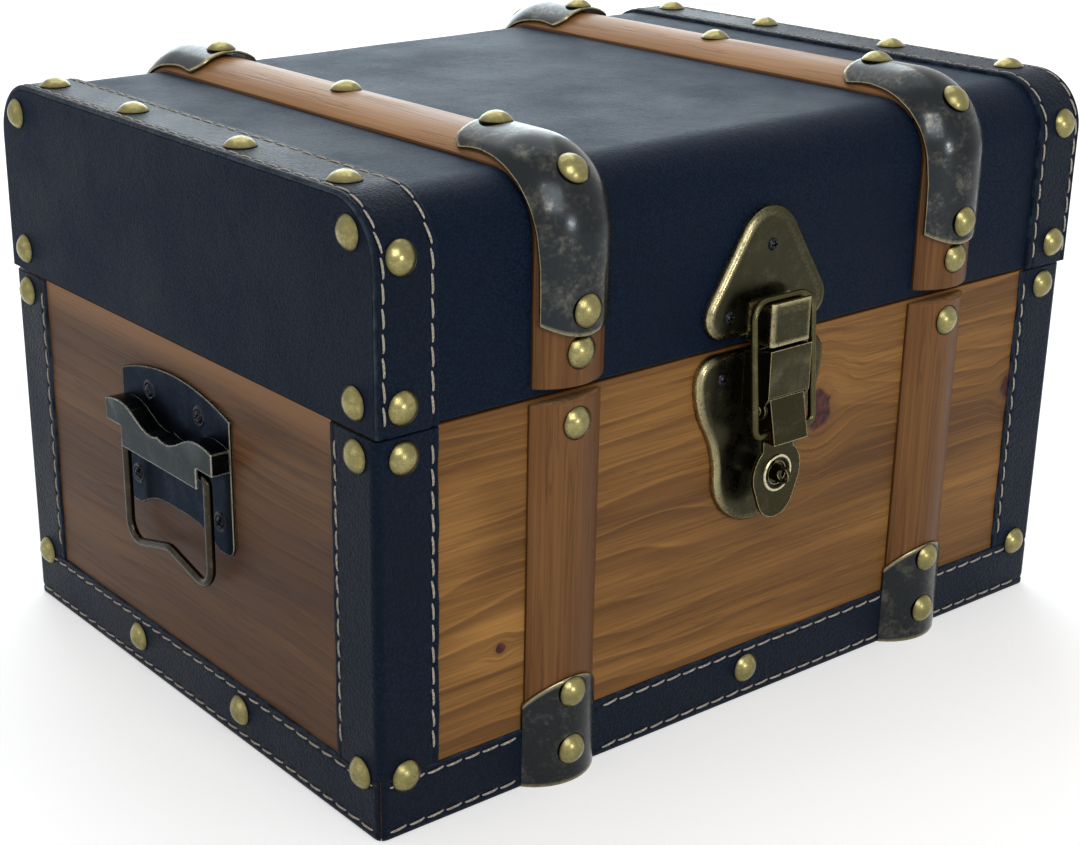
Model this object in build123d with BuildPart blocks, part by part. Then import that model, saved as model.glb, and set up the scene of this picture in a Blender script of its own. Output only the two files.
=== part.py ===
from build123d import *
import os
from math import asin, atan2, cos, hypot, pi, radians, sin, sqrt

os.makedirs("parts", exist_ok=True)

# A small wooden storage chest with leather edging, half-round wooden straps and antique metal
# fittings. Millimetres. The origin is on the floor under the middle of the chest, the latch
# faces -Y, +X is to the right of somebody facing the latch, +Z is up.

# ---- whole chest -----------------------------------------------------------------------------
box_width = 300.0          # across the end leathers
box_depth = 220.0          # across the front and back leathers
base_height = 126.0        # floor to the rim of the base
seam_gap = 1.0             # between the rim and the closed lid
lid_height = 64.5          # lid leather, from its lower edge to its flat top
lid_radius = 18.0          # rounded front and back top edges, over the leather
leather = 1.0              # thickness of the covering and edging leather
wall = 8.0                 # board thickness
floor_board = 6.0          # thickness of the floor board
corner_radius = 2.0        # upright corners of the wooden base

# ---- leather edging --------------------------------------------------------------------------
strip_width = 22.0         # upright corner strips, on each face
bottom_strip = 20.0        # height of the strip round the foot
under_fold = 12.0          # how far the foot strip is folded under
butt_gap = 0.4             # joint of the foot strip at the near corner
band_width = 21.0          # stitched bands over the lid's ends
band_rise = 1.5            # thickness of those bands

# ---- wooden straps ---------------------------------------------------------------------------
slat_x = 82.0              # distance of each strap from the middle
slat_width = 27.0
slat_side = 1.0            # height of a strap's straight sides
slat_rise = 6.5            # height of a strap's crown
slat_rim_gap = 1.0         # front straps stop this far below the rim
slat_lid_gap = 3.0         # lid straps start this far above the lid's lower edge
back_slat_drop = 11.0      # back straps stop this far below the rim, clear of the opening lid

# ---- metal caps on the straps ----------------------------------------------------------------
sheet = 1.0                # thickness of the caps
elbow_over = 9.0           # crown of an elbow cap above the leather
elbow_half = 15.2          # half width of an elbow cap
elbow_side = 1.0           # height of its straight sides
elbow_tip = 21.0           # from the start of the rounding to the tip on top of the lid
elbow_shoulder = 12.0      # the same, to the shoulders beside the tip
elbow_drop = 28.0          # from the start of the rounding down to the middle of the front edge
elbow_edge_drop = 23.0     # the same, to the sides of that edge
elbow_lift = 2.4           # how far the side edges climb the strap at both ends
elbow_climb = 10.0         # they have climbed nearly all of it this far below the rounding
elbow_hollow = 0.72        # where the hollow sides of the tip start, as a share of the half width
elbow_neck = 0.3           # where they meet its neck, in the same way
elbow_neck_rise = 3.6      # the neck, beyond the shoulders
foot_cap_crown = 36.5      # height of a foot cap at its middle
foot_cap_side = 28.0       # height of a foot cap at its sides
foot_cap_clear = 0.15      # between a foot cap and the strap under it

# ---- domed studs and screws ------------------------------------------------------------------
stud_radius = 5.2
stud_height = 2.9
stud_skirt = 0.7           # underside of the studs that sit on curved faces
stud_sink = 0.2            # how far those studs are pressed in
corner_stud_x = 140.3      # on the corner strips, in front and behind
corner_stud_y = 100.6      # on the corner strips, on the ends
corner_stud_drop = 6.6     # upper ones below the rim
corner_stud_sink = 0.3     # lower ones below the top of the foot strip
foot_stud_y = 33.0         # on the foot strip of the ends
foot_stud_share = 0.55     # of the height of the foot strip
strap_stud_drop = 7.7      # below the upper end of a base strap
shoe_stud_drops = (5.2, 25.0)    # below the crown of a foot cap
band_stud_in = 8.5         # on the lid's bands, in from the ends
band_stud_rise = 7.8       # lowest ones above the lid's lower edge
band_stud_y = (32.0, 85.5)
band_stud_tilt = 10.0      # on the rounding, degrees above the level
end_stud_y = (100.3, 99.0)
end_stud_drop = 9.0        # upper ones below the lid's top
lid_strap_stud = 13.2      # above the lid's lower edge
elbow_stud_drop = 20.5     # below the start of the rounding
elbow_stud_in = 15.5       # beyond the start of the flat top
lid_screw_top = 31.0       # screws of the lid's latch plate
lid_screw_side = (17.5, 10.5)
base_screw_side = (18.0, 8.5)    # from the middle and below the rim
hinge_screw_off = 10.5     # from the hinge axis
handle_screws = ((15.5, 106.2), (26.0, 74.2))
screw_radius = 2.1
screw_height = 1.1

# ---- hinges ----------------------------------------------------------------------------------
hinge_x = 42.0
hinge_width = 36.0
hinge_leaf = 16.0          # height of each leaf, from the pin
hinge_sheet = 1.5
knuckle_radius = 2.4
knuckle_count = 3
knuckle_gap = 0.3
base_leaf_start = 0.62     # upper edge of the base leaf, as a share of the clear height
base_web_rise = 0.9        # the webs behind the knuckles, from their lower or upper side
lid_web_drop = 0.6
hinge_pin_radius = 1.2
pin_clearance = 0.08       # radial, for every pin and wire that turns in a hole
hinge_stand = 2.8          # pin axis behind the back leather

# ---- latch -----------------------------------------------------------------------------------
latch_x = -2.0             # the latch sits a little left of the middle
plate_edge = 1.2           # sheet thickness of the two pressed plates
plate_rise = 3.0           # height of the pressed plates
plate_round = 2.2          # rolled edge of the pressed plates
lid_plate_top = 43.0       # above the lid's lower edge
lid_plate_bottom = 3.0
lid_plate_apex = 13.0      # radius of the upper end
lid_plate_lobe = 8.0       # radius of the lower corners
lid_plate_half = 26.0
base_plate_half = 28.0
base_plate_waist = 18.5    # half width of its lower part, and radius of its lower end
base_plate_lobe = 8.0      # radius of its upper corners
base_plate_length = 59.5
base_plate_drop = 0.6      # upper edge below the rim
hook_half = 8.6
hook_reach = 12.8          # front of the hook, out from the lid leather
hook_top = 15.3            # above the lid's lower edge
hook_foot = 1.6
hook_web = 1.7             # top of the web below the hook's lip
latch_sheet = 1.2
housing_half = 9.0
housing_reach = 14.3       # front of the housing, out from the wood
housing_top = 1.5          # above the rim
housing_foot = 13.8        # lower edge of its front face, below the rim
pivot_drop = 18.5          # lever pin below the rim
pivot_reach = 10.0         # lever pin out from the wood
pivot_eye = 3.2            # radius of the housing's ears
lever_pin_radius = 1.0
rivet_radius = 1.8
rivet_height = 0.7
lever_side_gap = 0.4
lever_top_gap = 0.7        # between the housing's front face and the lever
lever_length = 14.5        # thumb piece
lever_flare = 2.9          # how far its lower end stands further out
lever_depth = 5.0          # depth of its side flanges behind the front face
bail_wire = 1.25           # radius
bail_half = 12.75          # half width, to the middle of the wire
bail_corner = 2.5
bail_arch = 5.5            # corner radius at its top
bail_drop = 26.0           # bail pivot below the rim
bail_reach = 13.0          # bail pivot out from the wood
bail_lean = 3.5            # its top leans in this much
bail_length = 42.5
tongue_reach = 10.8        # middle of the padlock tongue, out from the wood
tongue_half = 10.5
tongue_eye = 3.75          # radius of its hole
tongue_eye_drop = 41.0     # hole below the rim
tongue_tip = 8.0           # radius of its end
tongue_length = 56.0       # end of the tongue below the rim
staple_half = 2.75         # half height of the padlock staple
staple_thick = 1.6
staple_reach = 17.0        # end of the staple, out from the wood
staple_bore = 1.75

# ---- end handles -----------------------------------------------------------------------------
handle_half = 33.5         # half width of the back plate
handle_toe = 8.5           # width of each of its two feet
handle_arch_share = 0.72   # of the arch's rise, at half the plate's half width
handle_arch_lean = 0.6     # slope with which the arch leaves the feet
handle_sheet = 1.2
handle_top = 115.5         # height of the middle of the arched top edge
handle_fall = 1.5          # halfway along that edge, below its middle
handle_shoulder = 109.5
handle_foot = 64.0
handle_arch = 69.5         # middle of the arched lower edge
handle_foot_round = 4.0
bridge_proud = 8.0         # front of the bridge, out from the wood
bridge_sheet = 1.0
bridge_low = 86.0          # lower edge of the bridge's front
bridge_ear_low = 93.0      # lower edge of its ends
bridge_front_half = 23.8
bridge_wave_mid = 96.2       # lowest point of its waved top edge
bridge_wave = [(20.5, 97.9), (13.0, 101.2), (6.5, 101.6), (0.0, 100.3)]    # in from its end
grip_wire = 1.5            # radius
grip_half = 26.0
grip_axis = 89.5           # height of the bar held by the bridge
grip_gap = 0.3             # between that bar and the bridge's front
grip_corner = 3.0
grip_low = 52.8            # lowest point of the hand loop
grip_bend = 6.5            # radius of its lower corners
grip_peak = 57.3           # middle of the kink in its lower bar
grip_peak_bend = 8.0       # radius of the kink

# ---- values that follow from those above -----------------------------------------------------
wood_width = box_width - 2 * leather
wood_depth = box_depth - 2 * leather
inner_width = wood_width - 2 * wall
inner_depth = wood_depth - 2 * wall
lid_bottom = base_height + seam_gap
lid_top = lid_bottom + lid_height
bend_y = box_depth / 2 - lid_radius
bend_z = lid_top - lid_radius
front_wood = -wood_depth / 2
front_leather = -box_depth / 2
axis_y = box_depth / 2 + hinge_stand
axis_z = base_height + seam_gap / 2
through = box_depth + box_width


def save(builder, label):
    """Name a finished sub-part and write its file."""
    builder.part.label = label
    export_step(builder.part, "parts/" + label + ".step")


def mirrored(part, about):
    """The same sub-part on the other side of a plane."""
    with BuildPart() as copy:
        mirror(part, about=about)
    return copy


def facing_front(x, y):
    """A plane seen from the front: local x to the right, local y up, pulled out towards -Y."""
    return Plane(origin=(x, y, 0), x_dir=(1, 0, 0), z_dir=(0, -1, 0))


def facing_left(x):
    """A plane seen from the left end: local y up, pulled out towards -X."""
    return Plane(origin=(x, 0, 0), x_dir=(0, -1, 0), z_dir=(-1, 0, 0))


# ---- wooden base -----------------------------------------------------------------------------
with BuildPart() as base_front_board:
    with BuildSketch(Plane.XY.offset(leather)):
        with Locations((0, front_wood + wall / 2)):
            Rectangle(wood_width, wall)
    extrude(amount=base_height - leather)
    fillet(base_front_board.edges().filter_by(Axis.Z).group_by(Axis.Y)[0], corner_radius)
save(base_front_board, "base_front_board")
base_back_board = mirrored(base_front_board.part, Plane.XZ)
save(base_back_board, "base_back_board")

with BuildPart() as base_left_board:
    with BuildSketch(Plane.XY.offset(leather)):
        with Locations((-wood_width / 2 + wall / 2, 0)):
            Rectangle(wall, inner_depth)
    extrude(amount=base_height - leather)
save(base_left_board, "base_left_board")
base_right_board = mirrored(base_left_board.part, Plane.YZ)
save(base_right_board, "base_right_board")

with BuildPart() as base_floor_board:
    with BuildSketch(Plane.XY.offset(leather)):
        Rectangle(inner_width, inner_depth)
    extrude(amount=floor_board)
save(base_floor_board, "base_floor_board")


# ---- leather edging of the base --------------------------------------------------------------
def leather_skin():
    """Plan of the leather round the outside of the wooden base."""
    RectangleRounded(box_width, box_depth, corner_radius + leather)
    RectangleRounded(wood_width, wood_depth, corner_radius, mode=Mode.SUBTRACT)


with BuildPart() as corner_front_left:
    with BuildSketch(Plane.XY.offset(bottom_strip)):
        leather_skin()
        with Locations((-box_width / 2 + strip_width / 2, -box_depth / 2 + strip_width / 2)):
            Rectangle(strip_width, strip_width, mode=Mode.INTERSECT)
    extrude(amount=base_height - bottom_strip)
corner_front_right = mirrored(corner_front_left.part, Plane.YZ)
corner_back_left = mirrored(corner_front_left.part, Plane.XZ)
corner_back_right = mirrored(corner_back_left.part, Plane.YZ)
save(corner_front_left, "corner_leather_front_left")
save(corner_front_right, "corner_leather_front_right")
save(corner_back_left, "corner_leather_back_left")
save(corner_back_right, "corner_leather_back_right")

with BuildPart() as foot_leather:
    with BuildSketch():
        RectangleRounded(box_width, box_depth, corner_radius + leather)
        Rectangle(box_width - 2 * under_fold, box_depth - 2 * under_fold, mode=Mode.SUBTRACT)
    extrude(amount=leather)
    with BuildSketch(Plane.XY.offset(leather)):
        leather_skin()
    extrude(amount=bottom_strip - leather)
    with Locations(Location((-box_width / 2, -box_depth / 2, 0), (0, 0, 45))):
        Box(4 * under_fold, butt_gap, 3 * bottom_strip, mode=Mode.SUBTRACT)
save(foot_leather, "foot_leather")


# ---- half-round straps -----------------------------------------------------------------------
def half_round(half, side, rise, foot=0.0):
    """Section of a strap: flat back, short straight sides and an arched crown."""
    with BuildSketch() as section:
        with BuildLine():
            Polyline((-half, side), (-half, foot), (half, foot), (half, side))
            ThreePointArc((half, side), (0, rise), (-half, side))
        make_face()
    return section.sketch


def arched_sheet(half, side, rise):
    """Section of a metal cap: the same arch as a sheet, open towards the wood."""
    with BuildSketch() as section:
        add(half_round(half, side, rise))
        add(half_round(half - sheet, side, rise - sheet, -1), mode=Mode.SUBTRACT)
    return section.sketch


def front_section(y, z):
    """Plane of a section across a front strap on the left, its outside towards -Y."""
    return Plane(origin=(-slat_x, y, z), x_dir=(-1, 0, 0), z_dir=(0, 0, 1))


def top_section(y):
    """Plane of a section across the left strap on top of the lid."""
    return Plane(origin=(-slat_x, y, lid_top), x_dir=(1, 0, 0), z_dir=(0, -1, 0))


def base_strap(top):
    """Upright strap on the base, notched over the foot leather."""
    with BuildPart() as strap:
        with BuildSketch(front_section(front_wood, leather)):
            add(half_round(slat_width / 2, slat_side, slat_rise))
        extrude(amount=top - leather)
        with Locations((-slat_x, front_wood - leather / 2, bottom_strip / 2)):
            Box(slat_width, leather, bottom_strip, mode=Mode.SUBTRACT)
    return strap


strap_front_left = base_strap(base_height - slat_rim_gap)
strap_front_right = mirrored(strap_front_left.part, Plane.YZ)
back_strap = base_strap(base_height - back_slat_drop)
strap_back_left = mirrored(back_strap.part, Plane.XZ)
strap_back_right = mirrored(strap_back_left.part, Plane.YZ)
save(strap_front_left, "base_slat_front_left")
save(strap_front_right, "base_slat_front_right")
save(strap_back_left, "base_slat_back_left")
save(strap_back_right, "base_slat_back_right")

with BuildPart() as lid_front_left_slat:
    with BuildSketch(front_section(front_leather, lid_bottom + slat_lid_gap)):
        add(half_round(slat_width / 2, slat_side, slat_rise))
    extrude(amount=bend_z - lid_bottom - slat_lid_gap)
lid_front_right_slat = mirrored(lid_front_left_slat.part, Plane.YZ)
lid_back_left_slat = mirrored(lid_front_left_slat.part, Plane.XZ)
lid_back_right_slat = mirrored(lid_back_left_slat.part, Plane.YZ)
save(lid_front_left_slat, "lid_slat_front_left")
save(lid_front_right_slat, "lid_slat_front_right")
save(lid_back_left_slat, "lid_slat_back_left")
save(lid_back_right_slat, "lid_slat_back_right")

with BuildPart() as lid_top_left_slat:
    with BuildSketch(top_section(bend_y)):
        add(half_round(slat_width / 2, slat_side, slat_rise))
    extrude(amount=2 * bend_y)
lid_top_right_slat = mirrored(lid_top_left_slat.part, Plane.YZ)
save(lid_top_left_slat, "lid_slat_top_left")
save(lid_top_right_slat, "lid_slat_top_right")


# ---- metal caps ------------------------------------------------------------------------------
foot_cap_half = slat_width / 2 + foot_cap_clear + sheet

with BuildPart() as foot_cap:
    with BuildSketch(front_section(front_wood, 0)):
        add(arched_sheet(foot_cap_half, slat_side, slat_rise + foot_cap_clear + sheet))
    extrude(amount=foot_cap_crown)
    with Locations((-slat_x, front_wood - leather / 2, bottom_strip / 2)):
        Box(3 * slat_width, leather, bottom_strip, mode=Mode.SUBTRACT)
    with BuildSketch(facing_front(-slat_x, 0)):
        with BuildLine():
            Polyline(
                (-slat_width, foot_cap_side - 1),
                (-slat_width, -1),
                (slat_width, -1),
                (slat_width, foot_cap_side - 1),
                (foot_cap_half, foot_cap_side),
            )
            ThreePointArc(
                (foot_cap_half, foot_cap_side),
                (0, foot_cap_crown),
                (-foot_cap_half, foot_cap_side),
            )
            Line((-foot_cap_half, foot_cap_side), (-slat_width, foot_cap_side - 1))
        make_face()
    extrude(amount=through, mode=Mode.INTERSECT)
foot_cap_front_right = mirrored(foot_cap.part, Plane.YZ)
foot_cap_back_left = mirrored(foot_cap.part, Plane.XZ)
foot_cap_back_right = mirrored(foot_cap_back_left.part, Plane.YZ)
save(foot_cap, "foot_cap_front_left")
save(foot_cap_front_right, "foot_cap_front_right")
save(foot_cap_back_left, "foot_cap_back_left")
save(foot_cap_back_right, "foot_cap_back_right")


with BuildPart() as elbow_cap:
    # over the rounding, then along the top of the lid and down its front
    with BuildSketch(top_section(-bend_y)):
        add(arched_sheet(elbow_half, elbow_side, elbow_over))
    revolve(axis=Axis((-slat_x, -bend_y, bend_z), (1, 0, 0)), revolution_arc=90)
    with BuildSketch(top_section(-bend_y)):
        add(arched_sheet(elbow_half, elbow_side, elbow_over))
    extrude(amount=-elbow_tip)
    with BuildSketch(front_section(front_leather, bend_z)):
        add(arched_sheet(elbow_half, elbow_side, elbow_over))
    extrude(amount=-elbow_drop)
    # the pointed end on top, with a tip on the crown and hollow sides
    with BuildSketch(Plane.XY.offset(bend_z)):
        with BuildLine():
            Spline(
                (-slat_x - elbow_half - 1, -bend_y + elbow_shoulder - 6),
                (-slat_x - elbow_half * elbow_hollow, -bend_y + elbow_shoulder),
                (-slat_x - elbow_half * elbow_neck, -bend_y + elbow_shoulder + elbow_neck_rise),
                (-slat_x, -bend_y + elbow_tip),
            )
            Spline(
                (-slat_x, -bend_y + elbow_tip),
                (-slat_x + elbow_half * elbow_neck, -bend_y + elbow_shoulder + elbow_neck_rise),
                (-slat_x + elbow_half * elbow_hollow, -bend_y + elbow_shoulder),
                (-slat_x + elbow_half + 1, -bend_y + elbow_shoulder - 6),
            )
            Polyline(
                (-slat_x + elbow_half + 1, -bend_y + elbow_shoulder - 6),
                (-slat_x + elbow_half + 1, -bend_y + elbow_tip + 1),
                (-slat_x - elbow_half - 1, -bend_y + elbow_tip + 1),
                (-slat_x - elbow_half - 1, -bend_y + elbow_shoulder - 6),
            )
        make_face()
    extrude(amount=lid_height, mode=Mode.SUBTRACT)
    # the rounded end in front
    with BuildSketch(facing_front(-slat_x, -bend_y)):
        with BuildLine():
            ThreePointArc(
                (-elbow_half, bend_z - elbow_edge_drop),
                (0, bend_z - elbow_drop),
                (elbow_half, bend_z - elbow_edge_drop),
            )
            Polyline(
                (elbow_half, bend_z - elbow_edge_drop),
                (elbow_half, bend_z - elbow_drop - 1),
                (-elbow_half, bend_z - elbow_drop - 1),
                (-elbow_half, bend_z - elbow_edge_drop),
            )
        make_face()
    extrude(amount=through, mode=Mode.SUBTRACT)
    # side edges that climb the strap towards both ends
    with BuildSketch(Plane.YZ.offset(-slat_x - elbow_half - 1)):
        with BuildLine():
            Spline(
                (front_leather, bend_z),
                (front_leather - elbow_lift * 0.85, bend_z - elbow_climb),
                (front_leather - elbow_lift, bend_z - elbow_drop - 1),
                tangents=[(0, -1), (0, -1)],
            )
            Polyline(
                (front_leather - elbow_lift, bend_z - elbow_drop - 1),
                (front_leather, bend_z - elbow_drop - 1),
                (front_leather, bend_z),
            )
        make_face()
        with BuildLine():
            Spline(
                (-bend_y + 1, lid_top),
                (-bend_y + elbow_shoulder * 0.5, lid_top + elbow_lift * 0.75),
                (-bend_y + elbow_tip + 1, lid_top + elbow_lift),
                tangents=[(1, 0), (1, 0)],
            )
            Polyline(
                (-bend_y + elbow_tip + 1, lid_top + elbow_lift),
                (-bend_y + elbow_tip + 1, lid_top),
                (-bend_y + 1, lid_top),
            )
        make_face()
    extrude(amount=2 * elbow_half + 2, mode=Mode.SUBTRACT)
elbow_front_right = mirrored(elbow_cap.part, Plane.YZ)
elbow_back_left = mirrored(elbow_cap.part, Plane.XZ)
elbow_back_right = mirrored(elbow_back_left.part, Plane.YZ)
save(elbow_cap, "elbow_cap_front_left")
save(elbow_front_right, "elbow_cap_front_right")
save(elbow_back_left, "elbow_cap_back_left")
save(elbow_back_right, "elbow_cap_back_right")


# ---- lid -------------------------------------------------------------------------------------
def lid_outline(inset, low=0.0):
    """End view of the lid, the given distance inside its leather."""
    half = box_depth / 2 - inset
    top = lid_top - inset
    radius = lid_radius - inset
    corner = radius * (1 - sqrt(0.5))
    foot = lid_bottom - low
    with BuildSketch() as outline:
        with BuildLine():
            Polyline((-half, top - radius), (-half, foot), (half, foot), (half, top - radius))
            ThreePointArc((half, top - radius), (half - corner, top - corner), (half - radius, top))
            Line((half - radius, top), (-half + radius, top))
            ThreePointArc(
                (-half + radius, top), (-half + corner, top - corner), (-half, top - radius)
            )
        make_face()
    return outline.sketch


def lid_wrap(outer, inner, x, width):
    """A skin over the front, top and back of the lid between two insets."""
    with BuildPart() as skin:
        with BuildSketch(Plane.YZ.offset(x)):
            add(lid_outline(outer))
            add(lid_outline(inner, 1), mode=Mode.SUBTRACT)
        extrude(amount=width)
    return skin


shell = lid_wrap(leather, leather + wall, -inner_width / 2, inner_width)

with BuildPart() as lid_front_board:
    add(shell.part)
    with Locations((0, -bend_y, lid_bottom + lid_height / 2)):
        Box(
            through,
            2 * bend_y,
            2 * lid_height,
            align=(Align.CENTER, Align.MIN, Align.CENTER),
            mode=Mode.SUBTRACT,
        )
    with Locations((0, bend_y, 0)):
        Box(
            through,
            through,
            through,
            align=(Align.CENTER, Align.MIN, Align.CENTER),
            mode=Mode.SUBTRACT,
        )
lid_back_board = mirrored(lid_front_board.part, Plane.XZ)
save(lid_front_board, "lid_front_board")
save(lid_back_board, "lid_back_board")

with BuildPart() as lid_top_board:
    with BuildSketch(Plane.XY.offset(lid_top - leather - wall)):
        Rectangle(inner_width, 2 * bend_y)
    extrude(amount=wall)
save(lid_top_board, "lid_top_board")

with BuildPart() as lid_left_board:
    with BuildSketch(Plane.YZ.offset(-wood_width / 2)):
        add(lid_outline(leather))
    extrude(amount=wall)
lid_right_board = mirrored(lid_left_board.part, Plane.YZ)
save(lid_left_board, "lid_left_board")
save(lid_right_board, "lid_right_board")

lid_cover = lid_wrap(0, leather, -wood_width / 2, wood_width)
save(lid_cover, "lid_cover_leather")

with BuildPart() as lid_left_leather:
    with BuildSketch(Plane.YZ.offset(-box_width / 2)):
        add(lid_outline(0))
    extrude(amount=leather)
lid_right_leather = mirrored(lid_left_leather.part, Plane.YZ)
save(lid_left_leather, "lid_end_leather_left")
save(lid_right_leather, "lid_end_leather_right")

lid_left_band = lid_wrap(-band_rise, 0, -box_width / 2, band_width)
lid_right_band = mirrored(lid_left_band.part, Plane.YZ)
save(lid_left_band, "lid_band_left")
save(lid_right_band, "lid_band_right")


# ---- hinges at the back ----------------------------------------------------------------------
knuckle = hinge_width / knuckle_count


def knuckle_spans(first, step):
    """Middles of every second knuckle, starting at the given one."""
    start = hinge_x - hinge_width / 2 + knuckle / 2
    return [start + knuckle * index for index in range(first, knuckle_count, step)]


def leaf(face, near, far, spans, web_z):
    """A hinge leaf lying on a back face, with its knuckles."""
    with BuildPart() as plate:
        with Locations((hinge_x, face + hinge_sheet / 2, (near + far) / 2)):
            Box(hinge_width, hinge_sheet, abs(far - near))
        for x in spans:
            with Locations((x, (face + axis_y) / 2, web_z)):
                Box(knuckle - knuckle_gap, axis_y - face, 2 * (knuckle_radius - hinge_pin_radius))
            with Locations(Location((x, axis_y, axis_z), (0, 90, 0))):
                Cylinder(knuckle_radius, knuckle - knuckle_gap)
        with Locations(Location((hinge_x, axis_y, axis_z), (0, 90, 0))):
            Cylinder(hinge_pin_radius + pin_clearance, 2 * hinge_width, mode=Mode.SUBTRACT)
    return plate


leaf_clear = knuckle_radius + knuckle_gap
base_leaf = leaf(
    wood_depth / 2,
    axis_z - leaf_clear * base_leaf_start,
    axis_z - hinge_leaf,
    knuckle_spans(0, 2),
    axis_z - knuckle_radius + base_web_rise,
)
lid_leaf = leaf(
    box_depth / 2,
    axis_z + leaf_clear,
    axis_z + hinge_leaf,
    knuckle_spans(1, 2),
    axis_z + knuckle_radius - lid_web_drop,
)
save(base_leaf, "hinge_base_leaf_right")
save(lid_leaf, "hinge_lid_leaf_right")
base_leaf_left = mirrored(base_leaf.part, Plane.YZ)
lid_leaf_left = mirrored(lid_leaf.part, Plane.YZ)
save(base_leaf_left, "hinge_base_leaf_left")
save(lid_leaf_left, "hinge_lid_leaf_left")

with BuildPart() as hinge_pins:
    with Locations(
        Location((-hinge_x, axis_y, axis_z), (0, 90, 0)), Location((hinge_x, axis_y, axis_z), (0, 90, 0))
    ):
        Cylinder(hinge_pin_radius, hinge_width)
save(hinge_pins, "hinge_pins")

# ---- latch: pressed plate and hook on the lid ------------------------------------------------
lobe_x = lid_plate_half - lid_plate_lobe
lobe_z = lid_bottom + lid_plate_bottom + lid_plate_lobe
apex_z = lid_bottom + lid_plate_top - lid_plate_apex

with BuildPart() as latch_lid_plate:
    with BuildSketch(facing_front(latch_x, front_leather)) as lid_plate_outline:
        with Locations((0, apex_z)):
            Circle(lid_plate_apex)
        with Locations((-lobe_x, lobe_z), (lobe_x, lobe_z)):
            Circle(lid_plate_lobe)
        make_hull()
    extrude(amount=plate_rise)
    fillet(latch_lid_plate.faces().sort_by(Axis.Y)[0].edges(), plate_round)
    with BuildSketch(facing_front(latch_x, front_leather)):
        add(lid_plate_outline.sketch)
        offset(amount=-plate_edge - 1, mode=Mode.REPLACE)
    extrude(amount=plate_rise - plate_edge, mode=Mode.SUBTRACT)
    # the hook: a folded box with a lip along its upper front edge, open below
    hook_mid = lid_bottom + (hook_top + hook_foot) / 2
    with Locations((latch_x, front_leather - hook_reach, hook_mid)):
        Box(
            2 * hook_half,
            hook_reach - plate_rise + plate_edge,
            hook_top - hook_foot,
            align=(Align.CENTER, Align.MIN, Align.CENTER),
        )
    fillet(
        latch_lid_plate.edges().filter_by(Axis.Z).group_by(Axis.Y)[0],
        latch_sheet,
    )
    with Locations((latch_x, front_leather - hook_reach + latch_sheet, lid_bottom + hook_top)):
        Box(
            3 * hook_half,
            hook_reach - latch_sheet - plate_rise,
            2 * hook_web,
            align=(Align.CENTER, Align.MIN, Align.CENTER),
            mode=Mode.SUBTRACT,
        )
    with Locations((latch_x, front_leather - hook_reach + latch_sheet, hook_mid - hook_web - latch_sheet)):
        Box(
            2 * (hook_half - latch_sheet),
            hook_reach - plate_rise - latch_sheet,
            hook_top - hook_foot,
            align=(Align.CENTER, Align.MIN, Align.CENTER),
            mode=Mode.SUBTRACT,
        )
save(latch_lid_plate, "latch_lid_plate")

# ---- latch: pressed plate and padlock staple on the base -------------------------------------
plate_top_z = base_height - base_plate_drop
plate_foot_z = plate_top_z - base_plate_length
eye_z = base_height - tongue_eye_drop
# each side swings in to the waist along two arcs of the same radius
lobe_low = plate_top_z - base_plate_lobe
waist_top = plate_foot_z + base_plate_waist
swing_rise = (lobe_low - waist_top) / 2
swing_in = (base_plate_half - base_plate_waist) / 2
swing_radius = (swing_rise**2 + swing_in**2) / (2 * swing_in)
swing_half = asin(swing_rise / swing_radius) / 2

with BuildPart() as latch_base_plate:
    with BuildSketch(facing_front(latch_x, front_wood)) as base_plate_outline:
        with BuildLine():
            ThreePointArc(
                (0, plate_foot_z),
                (base_plate_waist * sqrt(0.5), plate_foot_z + base_plate_waist * (1 - sqrt(0.5))),
                (base_plate_waist, plate_foot_z + base_plate_waist),
            )
            ThreePointArc(
                (base_plate_waist, waist_top),
                (
                    base_plate_waist + swing_radius * (1 - cos(swing_half)),
                    waist_top + swing_radius * sin(swing_half),
                ),
                (base_plate_waist + swing_in, waist_top + swing_rise),
            )
            ThreePointArc(
                (base_plate_waist + swing_in, waist_top + swing_rise),
                (
                    base_plate_half - swing_radius * (1 - cos(swing_half)),
                    lobe_low - swing_radius * sin(swing_half),
                ),
                (base_plate_half, lobe_low),
            )
            ThreePointArc(
                (base_plate_half, lobe_low),
                (
                    base_plate_half - base_plate_lobe * (1 - sqrt(0.5)),
                    plate_top_z - base_plate_lobe * (1 - sqrt(0.5)),
                ),
                (base_plate_half - base_plate_lobe, plate_top_z),
            )
            Line((base_plate_half - base_plate_lobe, plate_top_z), (0, plate_top_z))
            mirror(about=Plane.YZ)
        make_face()
    extrude(amount=plate_rise)
    fillet(latch_base_plate.faces().sort_by(Axis.Y)[0].edges(), plate_round)
    with BuildSketch(facing_front(latch_x, front_wood)):
        add(base_plate_outline.sketch)
        offset(amount=-plate_edge - 1, mode=Mode.REPLACE)
    extrude(amount=plate_rise - plate_edge, mode=Mode.SUBTRACT)
save(latch_base_plate, "latch_base_plate")

with BuildPart() as latch_staple:
    with BuildSketch(Plane.YZ.offset(latch_x - staple_thick / 2)):
        with Locations((front_wood - staple_reach + staple_half, eye_z)):
            Circle(staple_half)
        with Locations((front_wood - plate_rise - (staple_reach - plate_rise - staple_half) / 2, eye_z)):
            Rectangle(staple_reach - plate_rise - staple_half, 2 * staple_half)
        with Locations((front_wood - staple_reach + staple_half, eye_z)):
            Circle(staple_bore, mode=Mode.SUBTRACT)
    extrude(amount=staple_thick)
save(latch_staple, "latch_staple")

# ---- latch: housing, lever, pin and wire bail ------------------------------------------------
pivot_y = front_wood - pivot_reach
pivot_z = base_height - pivot_drop
housing_y = front_wood - housing_reach
housing_back = front_wood - plate_rise

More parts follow.
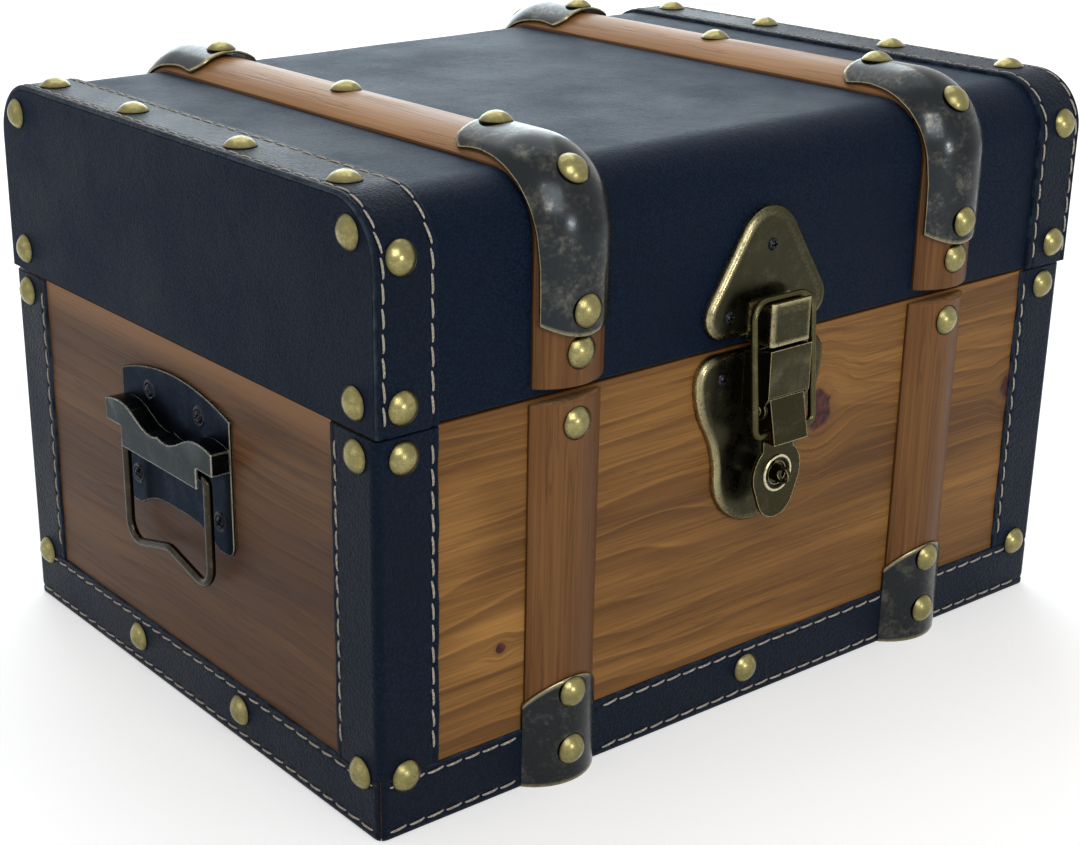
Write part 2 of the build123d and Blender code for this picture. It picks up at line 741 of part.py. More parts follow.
with BuildPart() as latch_housing:
    with BuildSketch(Plane.YZ.offset(latch_x - housing_half)):
        with BuildLine():
            Polyline(
                (housing_back, base_height - base_plate_drop),
                (housing_y, base_height + housing_top),
                (housing_y, base_height - housing_foot),
                (pivot_y, pivot_z - pivot_eye),
                (housing_back, pivot_z),
                close=True,
            )
        make_face()
        with Locations((pivot_y, pivot_z)):
            Circle(pivot_eye)
    extrude(amount=2 * housing_half)
    with Locations((latch_x, housing_y + latch_sheet, pivot_z)):
        Box(
            2 * (housing_half - latch_sheet),
            through,
            through,
            align=(Align.CENTER, Align.MIN, Align.CENTER),
            mode=Mode.SUBTRACT,
        )
    with Locations((latch_x, housing_y, base_height - housing_foot)):
        Box(
            2 * (housing_half - latch_sheet),
            through,
            through,
            align=(Align.CENTER, Align.CENTER, Align.MAX),
            mode=Mode.SUBTRACT,
        )
    with Locations(Location((latch_x, pivot_y, pivot_z), (0, 90, 0))):
        Cylinder(lever_pin_radius, 3 * housing_half, mode=Mode.SUBTRACT)
save(latch_housing, "latch_housing")

with BuildPart() as latch_lever_pin:
    with Locations(Location((latch_x, pivot_y, pivot_z), (0, 90, 0))):
        Cylinder(lever_pin_radius, 2 * housing_half)
    for side in (-1, 1):
        with Locations(
            Location((latch_x + side * (housing_half + rivet_height / 2), pivot_y, pivot_z), (0, 90, 0))
        ):
            Cylinder(rivet_radius, rivet_height)
save(latch_lever_pin, "latch_lever_pin")

lever_half = housing_half - latch_sheet - lever_side_gap
lever_top = base_height - housing_foot - lever_top_gap
lever_y = housing_y + lever_top_gap
bail_y = front_wood - bail_reach
bail_z = base_height - bail_drop
tongue_y = front_wood - tongue_reach

with BuildPart() as latch_lever:
    # thumb piece: a channel whose front flares out towards its lower end
    with BuildSketch(Plane.YZ.offset(latch_x - lever_half)):
        with BuildLine():
            Polyline(
                (lever_y, lever_top),
                (lever_y - lever_flare, lever_top - lever_length),
                (lever_y + lever_depth, lever_top - lever_length),
                (lever_y + lever_depth, lever_top),
                close=True,
            )
        make_face()
    extrude(amount=2 * lever_half)
    with BuildSketch(Plane.YZ.offset(latch_x - lever_half + latch_sheet)):
        with BuildLine():
            Polyline(
                (lever_y + latch_sheet, lever_top + 1),
                (lever_y - lever_flare + latch_sheet, lever_top - lever_length - 1),
                (lever_y + lever_depth + 1, lever_top - lever_length - 1),
                (lever_y + lever_depth + 1, lever_top + 1),
                close=True,
            )
        make_face()
    extrude(amount=2 * (lever_half - latch_sheet), mode=Mode.SUBTRACT)
    # tongue with the hole that drops over the padlock staple
    with BuildSketch(facing_front(latch_x, tongue_y + latch_sheet / 2)):
        with Locations((0, eye_z)):
            Circle(tongue_half)
        with Locations((0, base_height - tongue_length + tongue_tip)):
            Circle(tongue_tip)
        make_hull()
        with Locations((0, (eye_z + pivot_z - rivet_radius) / 2)):
            Rectangle(2 * lever_half - latch_sheet, pivot_z - rivet_radius - eye_z)
        with Locations((0, eye_z)):
            Circle(tongue_eye, mode=Mode.SUBTRACT)
    extrude(amount=latch_sheet)
    with Locations(Location((latch_x, pivot_y, pivot_z), (0, 90, 0))):
        Cylinder(lever_pin_radius + pin_clearance, 3 * housing_half, mode=Mode.SUBTRACT)
    with Locations(Location((latch_x, bail_y, bail_z), (0, 90, 0))):
        Cylinder(bail_wire + pin_clearance, 3 * housing_half, mode=Mode.SUBTRACT)
save(latch_lever, "latch_lever")

bail_plane = Plane(
    origin=(latch_x, bail_y, bail_z),
    x_dir=(1, 0, 0),
    z_dir=(0, -bail_length, bail_lean),
)
bail_end = lever_half - latch_sheet + 0.2

with BuildPart() as latch_bail:
    with BuildLine(bail_plane) as bail_path:
        Line((bail_end, 0), (bail_half - bail_corner, 0))
        ThreePointArc(
            (bail_half - bail_corner, 0),
            (bail_half - bail_corner * (1 - sqrt(0.5)), bail_corner * (1 - sqrt(0.5))),
            (bail_half, bail_corner),
        )
        Line((bail_half, bail_corner), (bail_half, bail_length - bail_arch))
        ThreePointArc(
            (bail_half, bail_length - bail_arch),
            (bail_half - bail_arch * (1 - sqrt(0.5)), bail_length - bail_arch * (1 - sqrt(0.5))),
            (bail_half - bail_arch, bail_length),
        )
        Line((bail_half - bail_arch, bail_length), (0, bail_length))
    with BuildSketch(Plane(origin=bail_path.line @ 0, z_dir=bail_path.line % 0)):
        Circle(bail_wire)
    sweep(path=bail_path.line)
    mirror(about=Plane.YZ.offset(latch_x))
save(latch_bail, "latch_bail")

# ---- end handles -----------------------------------------------------------------------------
left_wood = -wood_width / 2
plate_face = left_wood - handle_sheet

with BuildPart() as handle_plate:
    with BuildSketch(facing_left(left_wood)):
        round_mid = handle_foot_round * (1 - sqrt(0.5))
        with BuildLine():
            ThreePointArc(
                (0, handle_top),
                (handle_half / 2, handle_top - handle_fall),
                (handle_half, handle_shoulder),
            )
            Line((handle_half, handle_shoulder), (handle_half, handle_foot + handle_foot_round))
            ThreePointArc(
                (handle_half, handle_foot + handle_foot_round),
                (handle_half - round_mid, handle_foot + round_mid),
                (handle_half - handle_foot_round, handle_foot),
            )
            Line((handle_half - handle_foot_round, handle_foot), (handle_half - handle_toe, handle_foot))
            Spline(
                (handle_half - handle_toe, handle_foot),
                (handle_half / 2, handle_foot + (handle_arch - handle_foot) * handle_arch_share),
                (0, handle_arch),
                tangents=[(-1, handle_arch_lean), (-1, 0)],
            )
            mirror(about=Plane.YZ)
        make_face()
    extrude(amount=handle_sheet)
handle_plate_right = mirrored(handle_plate.part, Plane.YZ)
save(handle_plate, "handle_plate_left")
save(handle_plate_right, "handle_plate_right")


def bridge_face(drop, half, low):
    """Front view of the bridge under its waved top edge, lowered by the given amount."""
    wave = [(0, bridge_wave_mid - drop)] + [(handle_half - y, z - drop) for y, z in bridge_wave]
    with BuildSketch() as face:
        with BuildLine():
            Spline(*wave)
            Polyline(wave[-1], (handle_half, low), (0, low), wave[0])
        make_face()
        mirror(about=Plane.YZ)
        with Locations((0, low)):
            Rectangle(2 * half, through, mode=Mode.INTERSECT)
    return face.sketch


with BuildPart() as handle_bridge:
    with BuildSketch(facing_left(plate_face)):
        add(bridge_face(0, handle_half, bridge_low))
    extrude(amount=bridge_proud - handle_sheet)
    with BuildSketch(facing_left(plate_face)):
        add(bridge_face(bridge_sheet, handle_half - bridge_sheet, bridge_low - 1))
    extrude(amount=bridge_proud - handle_sheet - bridge_sheet, mode=Mode.SUBTRACT)
    with BuildSketch(facing_left(plate_face)):
        Rectangle(through, 2 * bridge_ear_low)
        Rectangle(2 * bridge_front_half, through, mode=Mode.SUBTRACT)
    extrude(amount=through, mode=Mode.SUBTRACT)
handle_bridge_right = mirrored(handle_bridge.part, Plane.YZ)
save(handle_bridge, "handle_bridge_left")
save(handle_bridge_right, "handle_bridge_right")

# the lower bar rises from each corner to the kink along a line that touches both bends
bend_span = grip_half - grip_bend
bend_fall = grip_low + grip_bend - (grip_peak - grip_peak_bend)
slope = asin((grip_bend + grip_peak_bend) / hypot(bend_span, bend_fall)) - atan2(bend_fall, bend_span)
corner_mid = (slope + pi / 2) / 2
grip_x = left_wood - bridge_proud + bridge_sheet + grip_gap + grip_wire

with BuildPart() as handle_bail:
    with BuildLine(facing_left(grip_x)) as grip_path:
        Line((0, grip_axis), (grip_half - grip_corner, grip_axis))
        ThreePointArc(
            (grip_half - grip_corner, grip_axis),
            (grip_half - grip_corner * (1 - sqrt(0.5)), grip_axis - grip_corner * (1 - sqrt(0.5))),
            (grip_half, grip_axis - grip_corner),
        )
        Line((grip_half, grip_axis - grip_corner), (grip_half, grip_low + grip_bend))
        ThreePointArc(
            (grip_half, grip_low + grip_bend),
            (
                bend_span + grip_bend * sin(pi / 2 - corner_mid),
                grip_low + grip_bend - grip_bend * cos(pi / 2 - corner_mid),
            ),
            (bend_span - grip_bend * sin(slope), grip_low + grip_bend - grip_bend * cos(slope)),
        )
        Line(
            (bend_span - grip_bend * sin(slope), grip_low + grip_bend - grip_bend * cos(slope)),
            (grip_peak_bend * sin(slope), grip_peak - grip_peak_bend * (1 - cos(slope))),
        )
        ThreePointArc(
            (grip_peak_bend * sin(slope), grip_peak - grip_peak_bend * (1 - cos(slope))),
            (grip_peak_bend * sin(slope / 2), grip_peak - grip_peak_bend * (1 - cos(slope / 2))),
            (0, grip_peak),
        )
    with BuildSketch(Plane(origin=grip_path.line @ 0, z_dir=grip_path.line % 0)):
        Circle(grip_wire)
    sweep(path=grip_path.line)
    mirror(about=Plane.XZ)
handle_bail_right = mirrored(handle_bail.part, Plane.YZ)
save(handle_bail, "handle_bail_left")
save(handle_bail_right, "handle_bail_right")


# ---- screws ----------------------------------------------------------------------------------
def dome(radius, height, skirt):
    """A low round head standing on its plane, reaching the given depth below it."""
    with BuildPart() as head:
        with BuildSketch(Plane.XZ):
            ball = (radius * radius + height * height) / (2 * height)
            middle = sqrt(ball * ball - radius * radius / 4) - (ball - height)
            with BuildLine():
                Line((0, 0), (radius, 0))
                ThreePointArc((radius, 0), (radius / 2, middle), (0, height))
                Line((0, height), (0, 0))
            make_face()
            if skirt > 0:
                with Locations((0, -skirt)):
                    Rectangle(radius, skirt, align=(Align.MIN, Align.MIN))
        revolve(axis=Axis.Z)
    return head


screw = dome(screw_radius, screw_height, 0)
latch_front = front_wood - plate_rise
lid_plate_front = front_leather - plate_rise

lid_screw_places = [
    Plane(origin=(latch_x, lid_plate_front, lid_bottom + lid_screw_top), z_dir=(0, -1, 0)),
]
base_screw_places = []
for side in (-1, 1):
    out, up = lid_screw_side
    lid_screw_places.append(
        Plane(origin=(latch_x + side * out, lid_plate_front, lid_bottom + up), z_dir=(0, -1, 0))
    )
    out, down = base_screw_side
    base_screw_places.append(
        Plane(origin=(latch_x + side * out, latch_front, base_height - down), z_dir=(0, -1, 0))
    )
for side in (-1, 1):
    for x in (hinge_x - hinge_width / 4, hinge_x + hinge_width / 4):
        lid_screw_places.append(
            Plane(
                origin=(side * x, box_depth / 2 + hinge_sheet, axis_z + hinge_screw_off),
                z_dir=(0, 1, 0),
            )
        )
        base_screw_places.append(
            Plane(
                origin=(side * x, wood_depth / 2 + hinge_sheet, axis_z - hinge_screw_off),
                z_dir=(0, 1, 0),
            )
        )
    for y, z in handle_screws:
        for way in (-1, 1):
            base_screw_places.append(
                Plane(origin=(side * -plate_face, way * y, z), z_dir=(side, 0, 0))
            )

with BuildPart() as lid_screws:
    with Locations(*[place.location for place in lid_screw_places]):
        add(screw.part)
save(lid_screws, "lid_screws")

with BuildPart() as base_screws:
    with Locations(*[place.location for place in base_screw_places]):
        add(screw.part)
save(base_screws, "base_screws")

# ---- studs -----------------------------------------------------------------------------------
flat_stud = dome(stud_radius, stud_height, 0)
seated_stud = dome(stud_radius, stud_height, stud_skirt)
band_x = box_width / 2 - band_stud_in

base_flat_studs = []
base_seated_studs = []
lid_flat_studs = []
lid_seated_studs = []
for side in (-1, 1):
    for end in (-1, 1):
        outward = (0, end, 0)
        for z in (base_height - corner_stud_drop, bottom_strip - corner_stud_sink):
            base_flat_studs.append(
                Plane(origin=(side * corner_stud_x, end * box_depth / 2, z), z_dir=outward)
            )
            base_flat_studs.append(
                Plane(origin=(side * box_width / 2, end * corner_stud_y, z), z_dir=(side, 0, 0))
            )
        base_flat_studs.append(
            Plane(
                origin=(side * box_width / 2, end * foot_stud_y, bottom_strip * foot_stud_share),
                z_dir=(side, 0, 0),
            )
        )
        # on the crown of the straps and foot caps
        crown = wood_depth / 2 + slat_rise - stud_sink
        strap_top = base_height - strap_stud_drop - (0 if end < 0 else back_slat_drop)
        base_seated_studs.append(Plane(origin=(side * slat_x, end * crown, strap_top), z_dir=outward))
        crown = wood_depth / 2 + slat_rise + foot_cap_clear + sheet - stud_sink
        for drop in shoe_stud_drops:
            base_seated_studs.append(
                Plane(origin=(side * slat_x, end * crown, foot_cap_crown - drop), z_dir=outward)
            )
        # on the ends of the lid
        for y, z in zip(end_stud_y, (lid_bottom + band_stud_rise, lid_top - end_stud_drop)):
            lid_flat_studs.append(Plane(origin=(side * box_width / 2, end * y, z), z_dir=(side, 0, 0)))
        # on the stitched bands
        lid_flat_studs.append(
            Plane(
                origin=(side * band_x, end * (box_depth / 2 + band_rise), lid_bottom + band_stud_rise),
                z_dir=outward,
            )
        )
        for y in band_stud_y:
            lid_flat_studs.append(
                Plane(origin=(side * band_x, end * y, lid_top + band_rise), z_dir=(0, 0, 1))
            )
        tilt = radians(band_stud_tilt)
        radius = lid_radius + band_rise - stud_sink
        lid_seated_studs.append(
            Plane(
                origin=(side * band_x, end * (bend_y + radius * cos(tilt)), bend_z + radius * sin(tilt)),
                z_dir=(0, end * cos(tilt), sin(tilt)),
            )
        )
        # on the lid straps and the elbow caps
        lid_seated_studs.append(
            Plane(
                origin=(
                    side * slat_x,
                    end * (box_depth / 2 + slat_rise - stud_sink),
                    lid_bottom + lid_strap_stud,
                ),
                z_dir=outward,
            )
        )
        lid_seated_studs.append(
            Plane(
                origin=(
                    side * slat_x,
                    end * (box_depth / 2 + elbow_over - stud_sink),
                    bend_z - elbow_stud_drop,
                ),
                z_dir=outward,
            )
        )
        lid_seated_studs.append(
            Plane(
                origin=(side * slat_x, end * (bend_y - elbow_stud_in), lid_top + elbow_over - stud_sink),
                z_dir=(0, 0, 1),
            )
        )
        tilt = radians(45)
        radius = lid_radius + elbow_over - stud_sink
        lid_seated_studs.append(
            Plane(
                origin=(side * slat_x, end * (bend_y + radius * cos(tilt)), bend_z + radius * sin(tilt)),
                z_dir=(0, end * cos(tilt), sin(tilt)),
            )
        )
    lid_seated_studs.append(
        Plane(origin=(side * slat_x, 0, lid_top + slat_rise - stud_sink), z_dir=(0, 0, 1))
    )
for end in (-1, 1):
    base_flat_studs.append(
        Plane(origin=(0, end * box_depth / 2, bottom_strip * foot_stud_share), z_dir=(0, end, 0))
    )

with BuildPart() as base_studs:
    with Locations(*[place.location for place in base_flat_studs]):
        add(flat_stud.part)
    with Locations(*[place.location for place in base_seated_studs]):
        add(seated_stud.part)
    for carrier in (strap_front_left, strap_front_right, strap_back_left, strap_back_right):
        add(carrier.part, mode=Mode.SUBTRACT)
    for carrier in (foot_cap, foot_cap_front_right, foot_cap_back_left, foot_cap_back_right):
        add(carrier.part, mode=Mode.SUBTRACT)
save(base_studs, "base_studs")

with BuildPart() as lid_studs:
    with Locations(*[place.location for place in lid_flat_studs]):
        add(flat_stud.part)
    with Locations(*[place.location for place in lid_seated_studs]):
        add(seated_stud.part)
    for carrier in (lid_front_left_slat, lid_front_right_slat, lid_back_left_slat, lid_back_right_slat):
        add(carrier.part, mode=Mode.SUBTRACT)
    for carrier in (lid_top_left_slat, lid_top_right_slat, lid_left_band, lid_right_band):
        add(carrier.part, mode=Mode.SUBTRACT)
    for carrier in (elbow_cap, elbow_front_right, elbow_back_left, elbow_back_right):
        add(carrier.part, mode=Mode.SUBTRACT)
save(lid_studs, "lid_studs")
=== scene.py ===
"""The looks of a small storage chest: stained pine, navy leather, half-round straps, antique metal.

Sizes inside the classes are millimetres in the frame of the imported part; meshes are written in
metres. Every new piece is a surface over a grid of two parameters.
"""

import logging
import math
from collections.abc import Callable
from dataclasses import dataclass, field
from enum import Enum
from itertools import product

import bmesh
import bpy
import numpy as np
from mathutils import Matrix, Vector


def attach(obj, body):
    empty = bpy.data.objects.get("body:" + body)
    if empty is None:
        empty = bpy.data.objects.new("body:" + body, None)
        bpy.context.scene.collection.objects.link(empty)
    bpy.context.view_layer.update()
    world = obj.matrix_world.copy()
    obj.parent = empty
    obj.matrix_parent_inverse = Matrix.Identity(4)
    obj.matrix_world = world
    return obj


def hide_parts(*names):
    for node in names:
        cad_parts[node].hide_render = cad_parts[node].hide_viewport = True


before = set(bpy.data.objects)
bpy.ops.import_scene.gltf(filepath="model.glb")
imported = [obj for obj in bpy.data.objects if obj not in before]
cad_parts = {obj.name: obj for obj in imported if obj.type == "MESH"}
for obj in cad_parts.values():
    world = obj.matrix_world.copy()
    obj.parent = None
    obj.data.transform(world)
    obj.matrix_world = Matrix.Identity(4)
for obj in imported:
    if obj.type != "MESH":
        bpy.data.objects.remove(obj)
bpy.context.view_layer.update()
MM = 0.001
BOTH = (-1, 1)
SIDES = (("left", -1), ("right", 1))
FACES = (("front", 1), ("back", -1))
LOG = logging.getLogger("chest")
Colour = tuple[float, float, float]
Triple = tuple[float, float, float]
Oval = tuple[float, float, float, float]
Place = tuple[Triple, Triple]
Socket = bpy.types.NodeSocket


class Body(Enum):
    """The moving bodies of the part."""

    BASE = "base"
    LID = "lid"
    LEVER = "latch_lever"
    BAIL = "latch_bail"
    GRIP_LEFT = "handle_bail_left"
    GRIP_RIGHT = "handle_bail_right"


class Grain(Enum):
    """What the grain of a wooden piece runs along."""

    WIDTH = "X"
    DEPTH = "Y"
    PIECE = "UV"


# ---------------------------------------------------------------------------------------------
# node graphs
# ---------------------------------------------------------------------------------------------
def dim(colour: Colour, share: float) -> Colour:
    """A share of a colour, or of three scales."""
    return tuple(part * share for part in colour)


class Graph:
    """One material and short ways to add nodes to it."""

    def __init__(self, name: str) -> None:
        """Start an empty material around its shader.

        Args:
            name: name of the material.
        """
        self.material = bpy.data.materials.new(name)
        self.material.use_nodes = True
        self.tree = self.material.node_tree
        self.shader = self.tree.nodes["Principled BSDF"]
        self.place = self.add("TexCoord", {}, "Object")

    def add(self, kind: str, inputs: dict[int | str, object], out: int | str = 0,
            **settings: object) -> Socket:
        """Add a node.

        Args:
            kind: Blender's name of the node type, without its prefix.
            inputs: name or number of each input that is set, and its value or source.
            out: name or number of the wanted output.
            settings: properties of the node.

        Returns:
            That output.
        """
        node = self.tree.nodes.new("ShaderNode" + kind)
        for key, value in settings.items():
            setattr(node, key, value)
        for key, value in inputs.items():
            self.feed(node.inputs[key], value)
        return node.outputs[out]

    def feed(self, socket: Socket, value: object) -> None:
        """Join a socket to an output, or set its own value.

        Args:
            socket: the input.
            value: an output socket, a number or a colour.
        """
        if isinstance(value, Socket):
            self.tree.links.new(value, socket)
        else:
            socket.default_value = (*value, 1.0) if socket.type == "RGBA" else value

    def shade(self, **values: object) -> None:
        """Set inputs of the shader; an underscore in a name stands for a space."""
        for key, value in values.items():
            self.feed(self.shader.inputs[key.replace("_", " ")], value)

    def stretch(self, scale: float | Triple, vector: Socket | None = None,
                move: Triple = (0, 0, 0)) -> Socket:
        """Scale and move a pattern's coordinates.

        Args:
            scale: factor along all axes, or along each.
            vector: coordinates, the object's own if left out.
            move: shift added after the scale.

        Returns:
            The coordinates.
        """
        scale = scale if isinstance(scale, tuple) else (scale, scale, scale)
        source = self.place if vector is None else vector
        return self.add("Mapping", {"Vector": source, "Scale": scale, "Location": move})

    def noise(self, scale: float | Triple, vector: Socket | None = None, move: Triple = (0, 0, 0),
              detail: float = 4.0, rough: float = 0.55, bend: float = 0.0) -> Socket:
        """Fractal noise from 0 to 1.

        Args:
            scale: cells per metre along all axes, or along each.
            vector: coordinates, the object's own if left out.
            move: shift of the pattern.
            detail: octaves.
            rough: share of each finer octave.
            bend: how far the pattern is bent by itself.

        Returns:
            The value.
        """
        return self.add("TexNoise", {"Vector": self.stretch(scale, vector, move), "Scale": 1.0,
                                     "Detail": detail, "Roughness": rough, "Distortion": bend})

    def cells(self, vector: Socket, scale: float) -> Socket:
        """Distance to the nearest of scattered points."""
        return self.add("TexVoronoi", {"Vector": vector, "Scale": scale}, "Distance")

    def span(self, value: Socket, low: float, high: float, first: float = 0.0, last: float = 1.0) -> Socket:
        """Map the range from low to high smoothly onto the one from first to last, clamped."""
        return self.add("MapRange", {"Value": value, "From Min": low, "From Max": high, "To Min": first,
                                     "To Max": last}, "Result", interpolation_type="SMOOTHSTEP")

    def ramp(self, value: Socket, stops: list[tuple[float, Colour]]) -> Socket:
        """Colour from a value.

        Args:
            value: position on the ramp.
            stops: positions and their colours.

        Returns:
            The colour.
        """
        colour = self.add("ValToRGB", {0: value})
        points = colour.node.color_ramp.elements
        while len(points) < len(stops):
            points.new(0.5)
        for point, (position, shade) in zip(points, stops):
            point.position = position
            point.color = (*shade, 1.0)
        return colour

    def mix(self, share: Socket, first: object, second: object) -> Socket:
        """Mix two colours by the share of the second."""
        return self.add("Mix", {0: share, 6: first, 7: second}, 2, data_type="RGBA")

    def sums(self, way: str, first: object, second: object, clamp: bool = False) -> Socket:
        """Arithmetic on two values, clamped between 0 and 1 if asked."""
        return self.add("Math", {0: first, 1: second}, operation=way, use_clamp=clamp)

    def plus(self, first: object, second: object) -> Socket:
        """Sum of two values."""
        return self.sums("ADD", first, second)

    def times(self, first: object, second: object) -> Socket:
        """Product of two values."""
        return self.sums("MULTIPLY", first, second)

    def blend(self, first: object, share: float, second: object, other: float) -> Socket:
        """Two values, each times its share, added."""
        return self.plus(self.times(first, share), self.times(second, other))

    def vectors(self, way: str, first: object, second: object = (0.0, 0.0, 0.0),
                out: str = "Vector") -> Socket:
        """Arithmetic on two coordinates."""
        return self.add("VectorMath", {0: first, 1: second}, out, operation=way)

    def own(self, name: str) -> Socket:
        """A value that the mesh carries under this name."""
        return self.add("Attribute", {}, "Fac", attribute_name=name)

    def height(self, place: Socket) -> Socket:
        """The last coordinate."""
        return self.add("SeparateXYZ", {0: place}, "Z")

    def edges(self, radius: float) -> Socket:
        """Mask of the sharp edges, from how far a rounded normal leaves the true one.

        Args:
            radius: width of the edge in mm.

        Returns:
            Value from 0 on faces to 1 on edges.
        """
        soft = self.add("Bevel", {"Radius": radius * MM}, samples=4)
        hard = self.add("NewGeometry", {}, "Normal")
        likeness = self.vectors("DOT_PRODUCT", soft, hard, "Value")
        return self.span(self.sums("SUBTRACT", 1.0, likeness), 0.012, 0.10)

    def relief(self, height: Socket, depth: float, strength: float = 1.0,
               under: Socket | None = None) -> Socket:
        """Bump from a height.

        Args:
            height: value from 0 to 1.
            depth: height of 1 in mm.
            strength: share of the bump that is used.
            under: a bump below this one.

        Returns:
            The normal.
        """
        below = {} if under is None else {"Normal": under}
        return self.add("Bump", {"Height": height, "Distance": depth * MM, "Strength": strength, **below})


# ---------------------------------------------------------------------------------------------
# finishes
# ---------------------------------------------------------------------------------------------
@dataclass(frozen=True)
class StainedPine:
    """Stained softwood with dark latewood lines, fine pores, optional knots, pale spots and rings.

    Knots and pale spots are ovals on the front: x, z, half width and half height. rings is the
    width of a yearly ring and rim the height at which the stain is rubbed off.
    """

    name: str
    grain: Grain
    light: Colour
    middle: Colour
    dark: Colour
    raw: Colour = (0.36, 0.2, 0.095)
    band: float = 5.0
    knots: tuple[Oval, ...] = ()
    pale: tuple[Oval, ...] = ()
    rings: float = 0.0
    fade: float = 0.55
    rim: float = 0.0
    rough: float = 0.42

    def scales(self) -> tuple[Triple, Triple, Triple]:
        """How densely the pattern lies along each axis: low along the grain, high across it.

        Returns:
            The scales of the figure, of its fine streaks and of its broad clouds.
        """
        along, across = 6.0, 1000.0 / self.band
        figure = {
            Grain.WIDTH: (along, across * 0.6, across),
            Grain.DEPTH: (across * 0.6, along, across),
            Grain.PIECE: (across, along, 1.0),
        }[self.grain]
        steep = [value > 20 for value in figure]
        return (figure, tuple(v * (7 if high else 3.0) for v, high in zip(figure, steep)),
                tuple(v * (0.24 if high else 0.6) for v, high in zip(figure, steep)))

    def reach(self, g: Graph, oval: Oval) -> tuple[Socket, Socket]:
        """Way from the middle of an oval, and its distance, which is 1 on the oval's edge.

        Args:
            g: the graph.
            oval: the oval.

        Returns:
            The way and the distance.
        """
        x, z, across, high = oval
        away = g.vectors("SUBTRACT", g.place, (x * MM, 0.0, z * MM))
        scaled = g.vectors("MULTIPLY", away, (1000 / across, 0.0, 1000 / high))
        return away, g.vectors("LENGTH", scaled, out="Value")

    def parted(self, g: Graph, source: Socket) -> tuple[Socket, Socket | None]:
        """The grain parts round a knot: coordinates are pulled towards its middle near it.

        Args:
            g: the graph.
            source: coordinates of the grain.

        Returns:
            The bent coordinates and a mask of the knots, if there are any.
        """
        woven, mask = source, None
        for knot in self.knots:
            away, distance = self.reach(g, knot)
            flat = g.vectors("MULTIPLY", away, (1.0, 0.0, 1.0))
            wobble = g.sums("SUBTRACT", g.noise(260, detail=2), 0.5)
            reach = g.plus(distance, g.times(wobble, 0.7))
            pull = g.span(reach, 0.3, 4.0, 0.85, 0.0)
            shrunk = g.add("VectorMath", {0: flat, "Scale": pull}, operation="SCALE")
            woven = g.vectors("SUBTRACT", woven, shrunk)
            both = g.blend(g.span(reach, 0.85, 1.1, 1.0, 0.0), 0.75, g.span(reach, 0.9, 1.9, 1.0, 0.0), 0.25)
            mask = both if mask is None else g.sums("MAXIMUM", mask, both)
        return woven, mask

    def ringed(self, g: Graph, colour: Socket, woven: Socket) -> Socket:
        """Yearly rings: a saw of the height, bent by slow noise, ends each ring in a dark line.

        Args:
            g: the graph.
            colour: the wood so far.
            woven: coordinates of the grain.

        Returns:
            The wood with its rings.
        """
        sway = g.noise((5.5, 5.5, 16.0), woven, (4.4, 8.1, 2.6), detail=2, rough=0.5)
        saw = g.sums("FRACT", g.blend(g.height(woven), 1000 / self.rings, sway, 5.5), 0.0)
        late = g.times(g.span(saw, 0.45, 0.93), g.span(saw, 0.94, 1.0, 1.0, 0.0))
        seen = g.span(g.noise((14, 14, 22), move=(1.0, 6.0, 3.0), detail=3), 0.36, 0.62, 0.1, self.fade)
        colour = g.mix(g.times(late, seen), colour, dim(self.dark, 0.9))
        return g.mix(g.times(g.span(saw, 0.0, 0.14, 0.5, 0.0), seen), colour, dim(self.light, 1.35))

    def build(self) -> bpy.types.Material:
        """Make the material.

        Returns:
            The material.
        """
        g = Graph(self.name)
        source = g.add("UVMap", {}) if self.grain is Grain.PIECE else g.place
        woven, mask = self.parted(g, source)
        scale, fine, broad = self.scales()
        figure = g.noise(scale, woven, detail=5, rough=0.6, bend=0.35)
        streak = g.noise(fine, woven, (3.1, 1.7, 5.3), rough=0.65)
        cloud = g.noise(broad, woven, (7.3, 2.9, 1.1), detail=3)
        # latewood lines: the figure folded into narrow ridges
        lines = g.span(g.sums("PINGPONG", g.times(figure, 5.0), 0.5), 0.0, 0.16, 1.0, 0.0)
        tone = g.blend(cloud, 0.62, streak, 0.38)
        for spot in self.pale:
            tone = g.plus(tone, g.span(self.reach(g, spot)[1], 0.2, 1.0, 0.13, 0.0))
        colour = g.ramp(tone, [(0.34, self.dark), (0.5, self.middle), (0.64, self.light),
                               (0.8, dim(self.light, 1.5))])
        if self.rings > 0:
            colour = self.ringed(g, colour, woven)
        colour = g.mix(g.times(lines, 0.3), colour, dim(self.dark, 0.55))
        pores = g.span(g.noise(dim(fine, 2.6), woven, detail=2), 0.62, 0.8)
        colour = g.mix(g.times(pores, 0.3), colour, dim(self.dark, 0.45))
        if mask is not None:
            core = g.ramp(g.noise(420, detail=3),
                          [(0.35, (0.024, 0.008, 0.007)), (0.7, (0.085, 0.026, 0.020))])
            colour = g.mix(mask, colour, core)
        if self.rim > 0:
            high = g.plus(g.height(g.place), g.times(cloud, 0.008))
            rubbed = g.span(high, (self.rim - 7) * MM, (self.rim + 4) * MM, 0.0, 0.75)
            colour = g.mix(rubbed, colour, dim(self.light, 1.9))
        ends = g.mix(g.span(g.noise(900, detail=3), 0.3, 0.75), dim(self.raw, 0.5), self.raw)
        colour = g.mix(g.own("cut"), colour, ends)
        # darker along the marked sides of the straps next to the boards: partly dark stained edges, partly
        # painted shade in the groove beside each strap
        stain_and_shade = g.times(g.own("edge"), g.span(streak, 0.3, 0.6, 1.0, 0.6))
        colour = g.mix(g.times(stain_and_shade, 0.85), colour, dim(self.dark, 0.22))
        g.shade(Base_Color=colour, Roughness=g.span(streak, 0.25, 0.75, self.rough - 0.07, self.rough + 0.13),
                Specular_IOR_Level=0.12, Normal=g.relief(g.blend(streak, 0.5, lines, -0.35), 0.2, 0.7))
        return g.material


